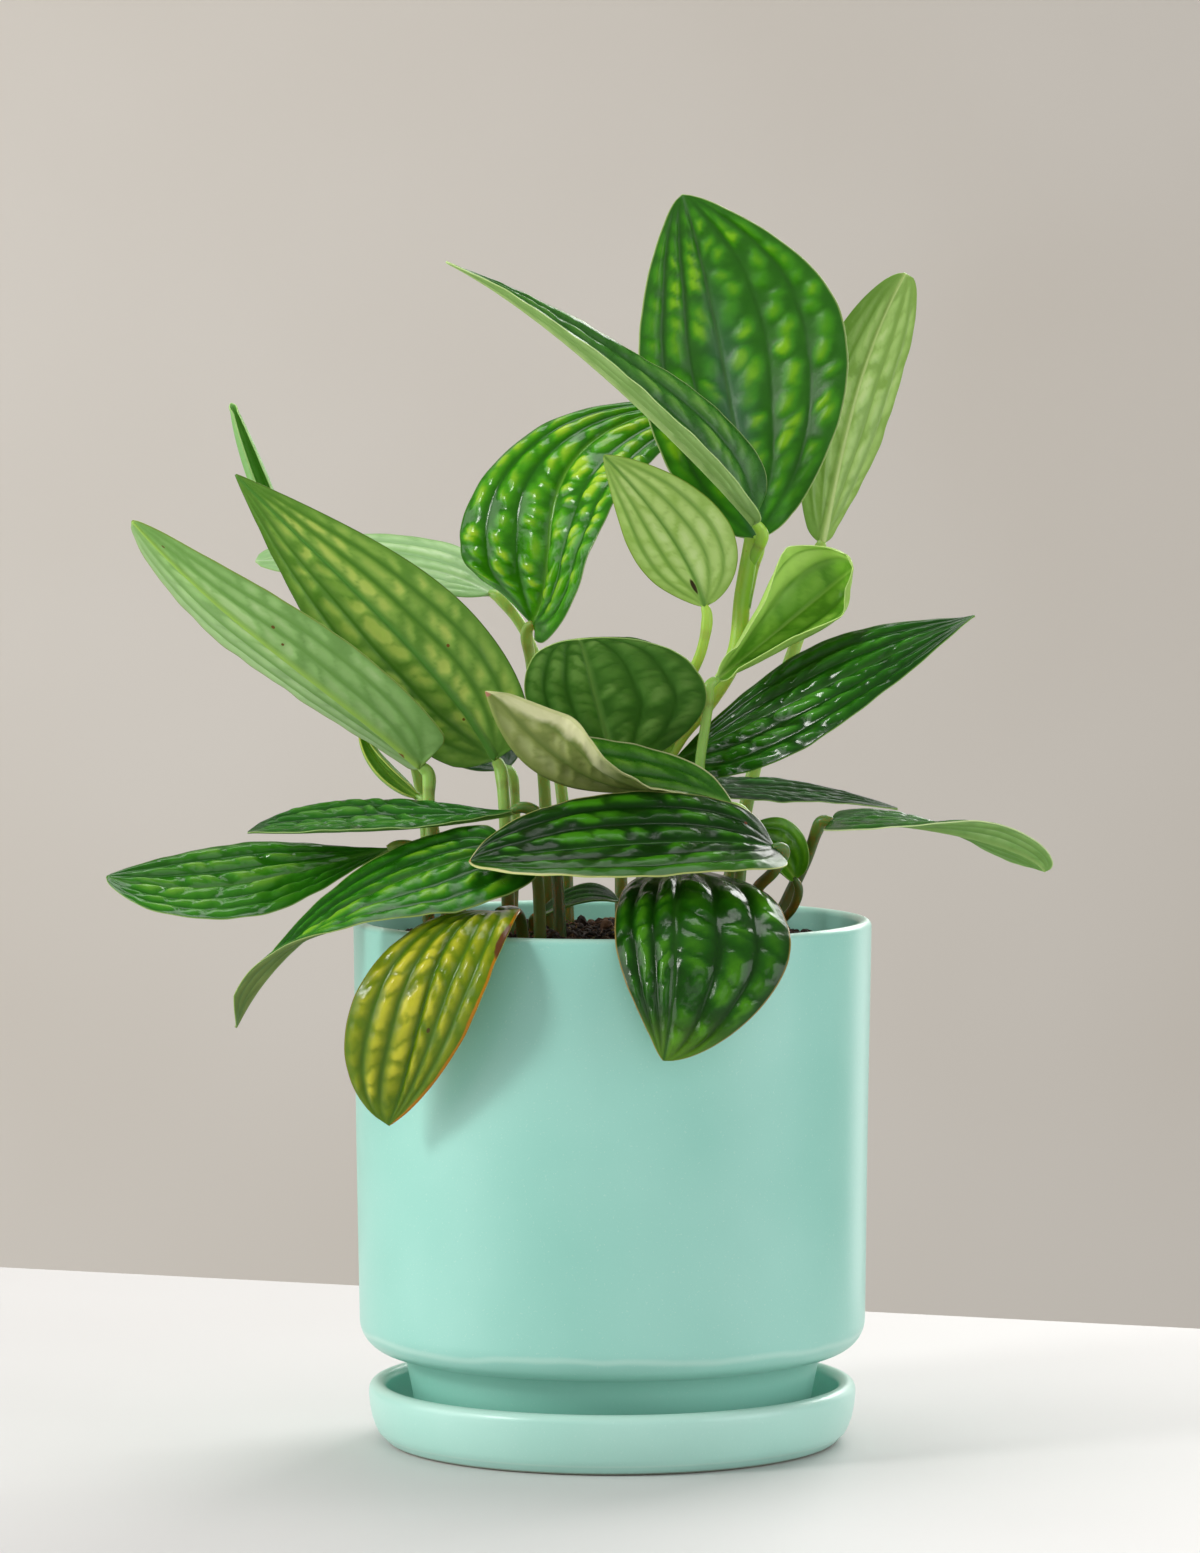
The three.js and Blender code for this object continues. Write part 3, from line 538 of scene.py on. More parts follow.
def leaf_relief(t, across, width, length, look, seed):
    """The height of the puckers, the painted light and shade at each point, the distance to the
    nearest long vein and the fine cross veins."""
    share = np.abs(across)
    side = np.where(across < 0, 0, 1)
    inner, outer, strip = long_veins(t, across, seed)
    is_last = strip >= STRIPS - 1
    across_strip = np.clip((share - inner) / np.maximum(outer - inner, 1e-3), 0, 1)
    strip_width = np.maximum((outer - inner) * width, 0.5)
    to_inner = (share - inner) * width
    to_outer = (outer - share) * width
    to_margin = (1 - share) * width
    vein_distance = np.minimum(np.where(strip > 0, to_inner, FAR), np.where(is_last, FAR, to_outer))
    domes, bright, border = pucker_cells(t, across, across_strip, strip, strip_width, length,
                                         look, seed)

    pillow = np.sin(np.pi * np.clip(across_strip, 0.02, 0.98)) ** 0.6
    from_veins = valley(np.where(strip > 0, to_inner, to_inner + 0.4), VEIN_REACH)
    from_veins = from_veins * np.where(is_last, valley(to_margin, MARGIN_REACH),
                                       valley(to_outer, VEIN_REACH))
    fade = smooth(0.02, 0.2, t) * (1 - smooth(0.88, 1.0, t))
    pucker = from_veins * (0.3 + 0.7 * pillow) * (0.25 + 0.75 * domes * (0.6 + 0.4 * bright)) * fade
    broad = 0.5 + 0.5 * drift(0.8 * t, 0.8 * across, seed + 11)
    rows = 0.5 + 0.5 * drift(1.4 * t, 2.6 * strip + 5 * side, seed + 13)
    # Painted light: brightest on the pucker tops, dark as painted shade in the valleys by the veins
    painted_light = from_veins * (0.35 + 0.65 * pillow) * domes * (0.45 + 0.65 * bright)
    painted_light = painted_light * (0.5 + 0.4 * broad + 0.35 * rows) * (0.3 + 0.7 * fade)
    cross_veins = bell(border, 0.1) * fade * np.where(is_last, 0.6, 1.0)
    return pucker, painted_light, vein_distance, cross_veins


def blade_faces(rows, columns):
    """The faces between an upper grid of points and the lower grid that follows it, closed by
    a rim, and the material slot of each face: upper side, underside or rim."""
    count = (rows + 1) * (columns + 1)
    grid = np.arange(count).reshape(rows + 1, columns + 1)
    a, b = grid[:-1, :-1].ravel(), grid[:-1, 1:].ravel()
    c, d = grid[1:, 1:].ravel(), grid[1:, :-1].ravel()
    upper = np.stack([a, b, c, d], axis=1)
    under = np.stack([a, d, c, b], axis=1) + count
    rim = np.concatenate([
        np.stack([edge[:-1], edge[1:], edge[1:] + count, edge[:-1] + count], axis=1)
        for edge in (grid[:, 0], grid[::-1, -1], grid[0, ::-1], grid[-1, :])
    ])
    slots = np.repeat([0, 1, 2], [len(upper), len(under), len(rim)]).astype(np.int32)
    return np.concatenate([upper, under, rim]), slots


def blade_piece(name, leaf, look, seed):
    """One leaf as a closed thin mesh: upper side, underside with a raised midrib, and rim."""
    is_small = leaf.get("small", False)
    rows, columns = SMALL_BLADE_GRID if is_small else BLADE_GRID
    length = rib_length(leaf["rib"])
    t, across = np.meshgrid(np.linspace(0, 1, rows + 1), np.linspace(-1, 1, columns + 1),
                            indexing="ij")
    points, face, width = blade_frames(leaf, t, across)
    pucker, painted_light, vein_distance, cross_veins = leaf_relief(t, across, width, length, look, seed)
    share = np.abs(across)
    from_rib = share * width
    body = np.sin(np.pi * t) ** 0.5

    quilting = np.sin(share * STRIPS * np.pi) ** 2 * body * smooth(0, 0.12, t)
    height = look["relief"] * (PUCKER_HEIGHT * pucker + QUILTING_HEIGHT * quilting)
    vein_depth = (VEIN_DEPTH * bell(vein_distance, 0.7) + CROSS_VEIN_DEPTH * cross_veins) * body
    rib_size = (SMALL_RIB_SIZE if is_small else RIB_SIZE) * (1 - 0.75 * t)
    groove = GROOVE_DEPTH * bell(from_rib, 0.55 * rib_size + 0.3) * body
    ridge = rib_size * np.sqrt(np.maximum(0, 1 - (from_rib / rib_size) ** 2))
    ridge = ridge + VEIN_RIDGE * bell(vein_distance, 0.55) * body
    wave = smooth_wave(t * length * 0.16 + np.where(across < 0, 0, 4), seed)
    half = BLADE_THICKNESS / 2 * (0.35 + 0.65 * (1 - share ** 10)) * (0.5 + 0.5 * body)
    mid = points + face * (look["wave"] * wave * share ** 4 * body)[..., None]
    upper = mid + face * (height + half - vein_depth - groove)[..., None]
    under = mid + face * (height * 0.92 - half - ridge - 0.1 * vein_depth)[..., None]

    # The first mask carries the painted light and shade of the puckers into the materials
    masks = {
        "painted_light": painted_light, "vein": bell(vein_distance, 0.6) * body, "cross_vein": cross_veins,
        "midrib": bell(from_rib, 0.5 * rib_size + 0.35), "along": t, "across": across,
        "margin_mm": (1 - share) * width
    }
    vertices = np.concatenate([upper.reshape(-1, 3), under.reshape(-1, 3)]) * MM
    faces, slots = blade_faces(rows, columns)
    piece = new_piece(name, vertices.tolist(), faces.tolist(),
                      **{mask: np.tile(values.ravel(), 2) for mask, values in masks.items()})
    mesh = piece.data
    mesh.polygons.foreach_set("material_index", slots)

    uv = mesh.uv_layers.new(name="LeafMap")
    flat = np.stack([across * width / UV_UNIT + 0.5, t * length / UV_UNIT], axis=-1).reshape(-1, 2)
    corners = np.empty(len(mesh.loops), dtype=np.int32)
    mesh.loops.foreach_get("vertex_index", corners)
    uv.data.foreach_set("uv", flat[corners % len(flat)].astype(np.float32).ravel())
    return piece


# Materials

def linear(hex_colour):
    """An RGBA linear colour from a six-digit sRGB hex colour."""
    channels = [int(hex_colour[i:i + 2], 16) / 255 for i in (0, 2, 4)]
    return [c / 12.92 if c <= 0.04045 else ((c + 0.055) / 1.055) ** 2.4 for c in channels] + [1.0]


class Tree:
    """A short way to write a material's nodes."""

    def __init__(self, name):
        self.material = bpy.data.materials.new(name)
        self.material.use_nodes = True
        self.nodes = self.material.node_tree.nodes
        self.links = self.material.node_tree.links
        self.shader = self.nodes["Principled BSDF"]
        self.output = self.nodes["Material Output"]

    def node(self, kind, **settings):
        node = self.nodes.new(kind)
        for key, value in settings.items():
            setattr(node, key, value)
        return node

    def put(self, value, socket):
        if isinstance(value, bpy.types.NodeSocket):
            self.links.new(value, socket)
        else:
            socket.default_value = value

    def fed(self, kind, output, inputs, **settings):
        """The stated output of a new node whose inputs are filled in."""
        node = self.node(kind, **settings)
        for key, value in inputs.items():
            self.put(value, node.inputs[key])
        return node.outputs[output]

    def mask(self, name):
        return self.node("ShaderNodeAttribute", attribute_name=name).outputs["Fac"]

    def math(self, operation, *values):
        return self.fed("ShaderNodeMath", "Value", dict(enumerate(values)), operation=operation)

    def times(self, a, b):
        return self.math("MULTIPLY", a, b)

    def plus(self, a, b):
        return self.math("ADD", a, b)

    def stretched(self, value, factor, offset):
        return self.math("MULTIPLY_ADD", value, factor, offset)

    def ramp(self, value, low, high, to_low=0.0, to_high=1.0):
        inputs = {"Value": value, "From Min": low, "From Max": high, "To Min": to_low,
                  "To Max": to_high}
        return self.fed("ShaderNodeMapRange", "Result", inputs, interpolation_type="SMOOTHSTEP")

    def mix(self, factor, a, b, blend="MIX"):
        node = self.node("ShaderNodeMix", data_type="RGBA", blend_type=blend)
        self.put(factor, node.inputs["Factor"])
        colours = [socket for socket in node.inputs if socket.type == "RGBA"]
        self.put(a, colours[0])
        self.put(b, colours[1])
        return next(socket for socket in node.outputs if socket.type == "RGBA")

    def tint(self, colour, place, strength, hex_colour):
        """Lays another colour over a place, as strongly as stated."""
        return self.mix(self.times(place, strength), colour, linear(hex_colour))

    def where(self, strength, places):
        """The share of a colour that shows where every mask is within its range."""
        for mask, low, high in places:
            strength = self.times(strength, self.ramp(self.mask(mask), low, high))
        return strength

    def place(self, source="Object", scale=(1, 1, 1)):
        vector = self.node("ShaderNodeTexCoord").outputs[source]
        return self.fed("ShaderNodeMapping", "Vector", {"Vector": vector, "Scale": scale})

    def height(self):
        """The height of each point above the floor, in metres."""
        return self.fed("ShaderNodeSeparateXYZ", "Z", {"Vector": self.place()})

    def noise(self, vector, scale, detail=2.0, rough=0.5):
        inputs = {"Vector": vector, "Scale": scale, "Detail": detail, "Roughness": rough}
        return self.fed("ShaderNodeTexNoise", "Fac", inputs)

    def cells(self, vector, scale):
        """The distance to the nearest border of an irregular net."""
        return self.fed("ShaderNodeTexVoronoi", "Distance", {"Vector": vector, "Scale": scale},
                        feature="DISTANCE_TO_EDGE")

    def bump(self, height, strength, distance):
        inputs = {"Height": height, "Strength": strength, "Distance": distance}
        return self.fed("ShaderNodeBump", "Normal", inputs)

    def finish(self, colour, roughness, normal=None, **extra):
        self.put(colour, self.shader.inputs["Base Color"])
        self.put(roughness, self.shader.inputs["Roughness"])
        if normal is not None:
            self.put(normal, self.shader.inputs["Normal"])
        for key, value in extra.items():
            self.shader.inputs[key.replace("_", " ")].default_value = value
        return self.material

    def blend_shader(self, factor, other):
        """Shows a share of another shader instead of the material's own."""
        inputs = {"Fac": factor, 1: self.shader.outputs[0], 2: other}
        both = self.fed("ShaderNodeMixShader", "Shader", inputs)
        self.links.new(both, self.output.inputs["Surface"])

    def let_light_through(self, colour, share, normal):
        """Adds the light that shines through a thin leaf."""
        inputs = {"Color": colour, "Normal": normal}
        self.blend_shader(share, self.fed("ShaderNodeBsdfTranslucent", "BSDF", inputs))

    def hide_back(self):
        """Makes a stage wall invisible from behind, so that it never covers the plant."""
        behind = self.node("ShaderNodeNewGeometry").outputs["Backfacing"]
        self.blend_shader(behind, self.fed("ShaderNodeBsdfTransparent", "BSDF", {}))


def spots(tree, look, colour):
    """Brown specks and scars at stated places of the leaf: along, across, and two radii."""
    for along, across, long, wide, tint in look.get("spots", ()):
        away = tree.stretched(tree.noise(tree.place("UV"), 25.0), 1.2, -0.6)
        for mask, centre, radius in (("along", along, long), ("across", across, wide)):
            offset = tree.math("DIVIDE", tree.math("SUBTRACT", tree.mask(mask), centre), radius)
            away = tree.plus(away, tree.times(offset, offset))
        inside = tree.ramp(away, 1.1, 0.6)
        colour = tree.mix(inside, colour, linear(tint))
    return colour


def lamina_colour(tree, look, colours, flat, painted_light):
    """The colour of the blade between its veins: painted shade in the valleys by the veins and
    painted light on the pucker tops, with the leaf's own yellow blotches.
    """
    colour = tree.mix(tree.ramp(painted_light, -0.05, 0.28), colours["dark"], colours["mid"])
    colour = tree.mix(tree.ramp(painted_light, 0.2, look["shine_from"]), colour, colours["light"])
    if "yellow" in look:
        tint, low, high = look["yellow"]
        blotch = tree.ramp(tree.noise(flat, 1.6, 3.0, 0.6), low, high)
        colour = tree.mix(blotch, colour, linear(tint))
    return colour


def leaf_side(name, look, is_upper):
    """The glossy upper side or the duller underside of a leaf."""
    tree = Tree(name)
    side = look["upper"] if is_upper else look["under"]
    colours = {part: linear(tint) for part, tint in side.items()}
    flat = tree.place("UV")
    fine_net = tree.ramp(tree.cells(flat, 34.0), 0.0, 0.2)
    grain = tree.noise(flat, 45.0)
    # Painted light on the pucker tops and painted shade in the valleys, set down as colour
    painted_light = tree.times(tree.mask("painted_light"), tree.ramp(tree.noise(flat, 3.2), 0.3, 0.7, 0.7, 1.2))
    painted_light = tree.plus(painted_light, tree.stretched(tree.noise(flat, 14.0), 0.26, -0.13))
    painted_light = tree.plus(painted_light, tree.stretched(grain, 0.1, -0.05))
    colour = lamina_colour(tree, look, colours, flat, painted_light)
    # A grey-green painted sheen along the midrib of the upper side
    if "band" in look and is_upper:
        tint, strength, reach = look["band"]
        near = tree.ramp(tree.math("ABSOLUTE", tree.mask("across")), reach, 0.0)
        near = tree.times(near, tree.ramp(tree.mask("along"), 0.95, 0.25))
        colour = tree.tint(colour, near, strength, tint)
    for tint, strength, places in look.get("washes", ()):
        colour = tree.mix(tree.where(strength, places), colour, linear(tint))
    veins = tree.times(tree.mask("cross_vein"), look["cross"])
    veins = tree.math("MAXIMUM", veins, tree.times(tree.mask("vein"), 0.8))
    colour = tree.mix(veins, colour, colours["vein"])
    colour = tree.tint(colour, tree.mask("midrib"), 0.9, side["rib"])
    tint, strength, reach = look["margin"]
    edge = tree.ramp(tree.mask("margin_mm"), reach, reach * 0.3)
    colour = tree.tint(colour, edge, strength, tint)
    for tint, reach, across_range, along_range in look.get("cream", ()):
        wobble = tree.stretched(tree.noise(flat, 9.0, 3.0), 1.4, 0.3)
        near = tree.ramp(tree.math("DIVIDE", tree.mask("margin_mm"), wobble), reach, reach * 0.6)
        near = tree.where(near, [("across", *across_range), ("along", *along_range)])
        colour = tree.mix(near, colour, linear(tint))
    colour = spots(tree, look, colour)

    gloss = look["gloss"] if is_upper else look["under_gloss"]
    height = tree.plus(tree.times(fine_net, 0.4), tree.times(grain, 0.4))
    normal = tree.bump(height, 0.12 if is_upper else 0.25, 0.00025)
    tree.finish(colour, tree.stretched(grain, 0.1, gloss - 0.05), normal,
                Specular_IOR_Level=look["sheen"] if is_upper else 0.3)
    glow = tree.mix(0.35, colour, linear(look["glow"]))
    tree.let_light_through(glow, look["through"], normal)
    return tree.material


def rim_material(name, look):
    tree = Tree(name)
    patches = tree.noise(tree.place("UV"), 12.0)
    colour = tree.mix(patches, linear(look["margin"][0]), linear(look["under"]["mid"]))
    return tree.finish(colour, 0.45)


# How each leaf looks: its colours on both sides, its puckers, gloss and margin. A margin is
# a colour, its strength and its reach in mm. washes lay a colour over the places where every
# named mask is within its range, cream does so along the margin, and spots are single specks.

# dark is painted shade in the pucker valleys, light is painted light on the pucker tops, mid the plain
# blade
def tones(dark, mid, light, vein, rib):
    return dict(dark=dark, mid=mid, light=light, vein=vein, rib=rib)


DEEP_UPPER = tones("123f0a", "25640f", "58a428", "123f0c", "34701f")
MID_UPPER = tones("1b5a0c", "358714", "80c024", "1c5a12", "4a8a2e")
DULL_UNDER = tones("5c8a3c", "8cb45e", "b4d48a", "5a8636", "a4c868")


def leaf_look(upper=MID_UPPER, under=DULL_UNDER, **changes):
    look = dict(upper=upper, under=under, cells=10, slant=0.6, relief=1.2, wave=0.5,
                gloss=0.26, under_gloss=0.46, sheen=0.36, shine_from=0.8, cross=0.12,
                margin=("8fae5c", 0.55, 0.4), glow="a6d434", through=0.35)
    look.update(changes)
    return look


LOOKS = {
    # leaf_top's greyish rib colour and the grey-green band beside its midrib are painted sheen
    "leaf_top": leaf_look(
        tones("276c0e", "439614", "90cc1a", "245c14", "4f7f48"), cells=17, relief=1.1,
        gloss=0.38, sheen=0.35, shine_from=0.85, band=("4a7460", 0.75, 0.3),
        margin=("b4c87a", 0.7, 0.6)),
    "leaf_spear": leaf_look(
        tones("2e6626", "4c8a38", "7cb250", "2e6624", "6fa83e"),
        tones("94bc68", "b0d484", "cfe8a4", "94bc68", "d4eca0"), gloss=0.28, cells=13,
        margin=("cde49a", 0.8, 0.5)),
    "leaf_back_right": leaf_look(
        MID_UPPER, tones("9cc45e", "c2e484", "e0f4a8", "9cc064", "dcee9e"), relief=0.5, cells=11,
        under_gloss=0.22, cross=0.15, washes=[("6c9c3c", 0.5, [("across", 0.1, 0.7)])]),
    "leaf_arched": leaf_look(
        tones("267208", "4ea616", "bce23a", "1c5c0c", "74b238"),
        tones("7d9c60", "a0bc80", "bcd49c", "789a58", "a8c480"), cells=15,
        relief=1.2, gloss=0.15, sheen=0.45, shine_from=0.8, cross=0.08),
    "leaf_small_top": leaf_look(
        MID_UPPER, tones("acd464", "cdec8a", "e6faae", "6c9e3e", "64983a"), relief=0.4, cells=9,
        wave=0.3, cross=0.16, margin=("8fa83a", 0.9, 0.5),
        spots=[(0.14, 0.13, 0.06, 0.08, "3a1a14")]),
    "leaf_young": leaf_look(
        tones("5f9a28", "82ba40", "a6d456", "5c9428", "a2cc5c"),
        tones("b0da64", "c6ea80", "dcf6a4", "b4dc70", "d2ee92"), relief=0.3, cells=7, wave=0.2,
        gloss=0.32, cross=0.06, margin=("c6e684", 0.9, 0.5),
        washes=[("d2f286", 0.85, [("across", -0.2, -0.55)])]),
    "leaf_right": leaf_look(
        tones("0f420a", "1f660e", "4a9c28", "114410", "3a7030"), cells=13, slant=1.0,
        relief=1.3, gloss=0.16, sheen=0.46, margin=("7fae4c", 0.5, 0.4)),
    "leaf_low_back": leaf_look(
        tones("0b340a", "174e10", "347a28", "0d3c0f", "2c5a24"), cells=8, slant=1.0, relief=0.9,
        gloss=0.42, sheen=0.1),
    "leaf_far_right": leaf_look(
        tones("1a5014", "347426", "5c9c3c", "205a1c", "46823a"),
        tones("86b25a", "a6cf78", "c8e49c", "8ab460", "bcdc88"), relief=0.9, cells=9, gloss=0.26,
        cross=0.15, margin=("dce8ae", 0.9, 0.7)),
    "leaf_small_low": leaf_look(
        tones("4c8c14", "72b020", "9ccc38", "44821a", "8ab834"),
        tones("5c9220", "7cb42c", "a6d048", "548822", "8ab834"), relief=0.4, cells=6, wave=0.3),
    "leaf_heart": leaf_look(
        DEEP_UPPER, tones("568f3a", "78b050", "acd67a", "40762a", "94c264"), cells=9,
        relief=1.0, under_gloss=0.36, cross=0.14, margin=("b4cc74", 0.8, 0.5)),
    # leaf_left's whitish wash over the blade is painted sheen
    "leaf_left": leaf_look(
        MID_UPPER, tones("86b862", "a6d480", "c8e8a4", "7cb054", "b4dc64"), cells=12,
        relief=0.7, under_gloss=0.36, cross=0.14, margin=("8f9c40", 0.8, 0.5),
        washes=[("cfe4bc", 0.45, [("across", -0.05, 0.75)])],
        spots=[(0.55, -0.4, 0.006, 0.03, "7a4a24"), (0.5, -0.2, 0.005, 0.03, "7a4a24"),
               (0.06, 0.05, 0.012, 0.07, "8a4a20"), (0.9, -0.3, 0.006, 0.05, "6a4a24")]),
    "leaf_left_big": leaf_look(
        MID_UPPER, tones("6ca038", "98c254", "d2e272", "4c8422", "58983a"), cells=15,
        relief=0.9, under_gloss=0.4, cross=0.16, margin=("5d7a28", 0.9, 0.5), shine_from=0.66,
        yellow=("ccc660", 0.6, 0.82),
        spots=[(0.35, -0.42, 0.005, 0.025, "8a4a1c"), (0.16, 0.1, 0.005, 0.03, "8a4a1c")]),
    "leaf_furled_back": leaf_look(
        tones("6aa650", "80b866", "9ed084", "6aa650", "9ed084"),
        tones("92c878", "acd892", "c6e8ae", "92c878", "bee4a4"), relief=0.1, cells=5, wave=0.1,
        gloss=0.4, margin=("b8dc84", 0.8, 0.5)),
    "leaf_back": leaf_look(
        tones("96c47c", "b4da98", "d4eebc", "8cb876", "cfe6bc"),
        tones("96c47c", "b4da98", "cfecb8", "9cc886", "d4eec4"), relief=0.6, cells=8, wave=0.3,
        gloss=0.34),
    "leaf_cream": leaf_look(
        tones("34741c", "56982c", "90c44c", "306c20", "78b04c"),
        tones("86964c", "a8b468", "cad290", "6c843c", "a6b466"), cells=12, relief=1.2,
        gloss=0.28, wave=0.9, cross=0.16, margin=("e4e4ae", 0.9, 0.8),
        cream=[("f0eec0", 6.5, (-0.3, -0.5), (0.42, 0.62)), ("dfe0a6", 1.6, (-0.2, -0.5), (0.1, 0.4))],
        spots=[(1.0, 0.0, 0.012, 0.4, "c98a76")]),
    # leaf_front's brighter green wash over its near half is painted light
    "leaf_front": leaf_look(
        tones("0b2f06", "134408", "449212", "0b320a", "266012"), cells=8, relief=1.0,
        gloss=0.24, sheen=0.26, cross=0.06, margin=("cccf7c", 0.95, 0.7),
        washes=[("4aa014", 0.3, [("across", -0.35, -0.85)])],
        cream=[("e2dd9c", 1.2, (-0.2, -0.5), (0.55, 0.85)), ("e2dd9c", 1.6, (-1.1, -1.0), (0.93, 0.99))],
        spots=[(0.1, 0.55, 0.006, 0.03, "8a3a2c"), (1.0, 0.0, 0.008, 0.5, "c47a5c")]),
    "leaf_front_low": leaf_look(
        tones("123f07", "1d5a0b", "4c9018", "103c0a", "2a6018"), cells=9, relief=1.2,
        gloss=0.18, sheen=0.4, cross=0.06, margin=("b79a56", 0.85, 0.6),
        washes=[("84bc28", 0.5, [("along", 0.75, 1.0)])]),
    "leaf_yellow": leaf_look(
        tones("5f8412", "8c9e1a", "dedb40", "4a7818", "50821a"),
        tones("7c8f2c", "a4ab3c", "c4c45c", "6c8424", "8f9c34"), cells=12, relief=1.1,
        gloss=0.18, cross=0.12, margin=("8a8a20", 0.9, 0.6), yellow=("b0922a", 0.55, 0.85),
        glow="d9dc3a", cream=[("c9821a", 1.0, (-0.5, -0.8), (0.02, 0.08))],
        spots=[(0.26, -0.99, 0.075, 0.1, "6b3d22"), (0.63, -0.25, 0.01, 0.04, "5c4a1c")]),
    "leaf_low_left": leaf_look(
        tones("1a5c0a", "358c14", "88c828", "1a5a10", "4a8a2c"),
        tones("74864a", "92a25c", "b0ba78", "667640", "98a666"), cells=12, slant=0.8, relief=1.2,
        gloss=0.26, cross=0.06, margin=("9cb85e", 0.9, 0.6)),
    "leaf_far_left": leaf_look(
        tones("20680f", "3f9020", "80bc40", "226a18", "549036"), cells=9, slant=0.9, relief=1.6,
        gloss=0.15, sheen=0.55, cross=0.05),
    "leaf_mid_left": leaf_look(
        tones("175612", "2f7c1e", "62a83c", "1c5a1c", "3a7832"), cells=10, slant=0.9, relief=1.5,
        gloss=0.22, sheen=0.5, cross=0.05),
    "leaf_furled_left": leaf_look(
        tones("7fb04c", "96c45e", "b2d87a", "7fb04c", "a9cf5c"),
        tones("8dbd58", "a6d06c", "c2e68c", "8dbd58", "c6d84c"), relief=0.1, cells=4, wave=0.1,
        margin=("c9cf4c", 0.9, 0.6)),
    "leaf_behind": leaf_look(
        tones("2c5034", "41694a", "5f8a66", "30553a", "56805e"),
        tones("5b7d5c", "7c9c78", "a4bfa0", "5b7d5c", "8fae88"), relief=0.5, cells=6, wave=0.3),
    "leaf_low_mid": leaf_look(DEEP_UPPER, relief=0.5, cells=6, wave=0.3)
}


# Stems

def blended(a, b, start, end, t):
    """The point between a and b for a time t between their two times."""
    return ((end - t) * a + (t - start) * b) / (end - start)


def smooth_curve(corners, per_segment):
    """Points of a centripetal Catmull-Rom curve through the corners."""
    corners = [np.array(corner, dtype=float) for corner in corners]
    ends = [2 * corners[0] - corners[1]] + corners + [2 * corners[-1] - corners[-2]]
    lengths = np.linalg.norm(np.diff(ends, axis=0), axis=1)
    times = np.concatenate([[0], np.cumsum(lengths ** 0.5)])
    points = []
    for i in range(len(corners) - 1):
        p0, p1, p2, p3 = ends[i:i + 4]
        t0, t1, t2, t3 = times[i:i + 4]
        for t in np.linspace(t1, t2, per_segment, endpoint=False):
            a1 = blended(p0, p1, t0, t1, t)
            a2 = blended(p1, p2, t1, t2, t)
            a3 = blended(p2, p3, t2, t3, t)
            b1 = blended(a1, a2, t0, t2, t)
            b2 = blended(a2, a3, t1, t3, t)
            points.append(blended(b1, b2, t1, t2, t))
    points.append(corners[-1])
    return np.array(points)


def tube(points, radii, sides, groove):
    """Vertices and faces of a closed round tube with a light groove along one side."""
    ahead = unit(np.gradient(points, axis=0))
    side = unit(np.cross(ahead[0], [0.0, 1.0, 0.1]))
    vertices, faces = [], []
    angles = np.linspace(0, 2 * np.pi, sides, endpoint=False)
    section = 1 - groove * bell(np.degrees(angles) - 90, 28)
    for point, forward, radius in zip(points, ahead, radii):
        side = unit(side - forward * np.dot(side, forward))
        over = np.cross(forward, side)
        for angle, share in zip(angles, section):
            vertices.append(point + radius * share * (side * math.cos(angle) + over * math.sin(angle)))
    last = (len(points) - 1) * sides
    for start in range(0, last, sides):
        for i in range(sides):
            j = (i + 1) % sides
            faces.append((start + i, start + j, start + sides + j, start + sides + i))
    faces.append(tuple(reversed(range(sides))))
    faces.append(tuple(last + i for i in range(sides)))
    return vertices, faces


def branch_line(branch):
    """The centre line of a branch, carried on into the base of its leaf."""
    path = [list(corner) for corner in branch["path"]]
    if path[0][2] == 0:
        path[0][2] = SOIL_TOP - STEM_DEPTH
    if "leaf" in branch:
        rib = LEAVES[branch["leaf"]]["rib"]
        ahead = rib_directions(rib, np.array([0.0]))[0]
        base = np.array(rib[0], dtype=float)
        path.append(list(base - ahead * JOIN_RUN))
        path.append(list(base + ahead * JOIN_OVERLAP))
    return smooth_curve(path, 8)


def stem_piece(name, branches):
    """All branches of a stem, with a swollen joint and a ring under each leaf."""
    vertices, faces, rings, runs = [], [], [], []
    for branch in branches:
        points = branch_line(branch)
        steps = np.linalg.norm(np.diff(points, axis=0), axis=1)
        run = np.concatenate([[0], np.cumsum(steps)])
        left = run[-1] - run
        share = run / run[-1]
        radii = branch["radius"][0] + (branch["radius"][1] - branch["radius"][0]) * share
        ring = np.zeros_like(run)
        if "leaf" in branch:
            radii = radii * (1 + 0.16 * bell(left - 6, 3.2)) * (1 - 0.3 * bell(left, 1.2))
            ring = bell(left - 9.5, 0.9)
        add_part(vertices, faces, *tube(points, radii, STEM_SIDES, 0.1 if "leaf" in branch else 0.03))
        rings.append(np.repeat(ring, STEM_SIDES))
        runs.append(np.repeat(share, STEM_SIDES))
    return new_piece(name + "_finished", (np.array(vertices) * MM).tolist(), faces,
                     node_ring=np.concatenate(rings), run=np.concatenate(runs))


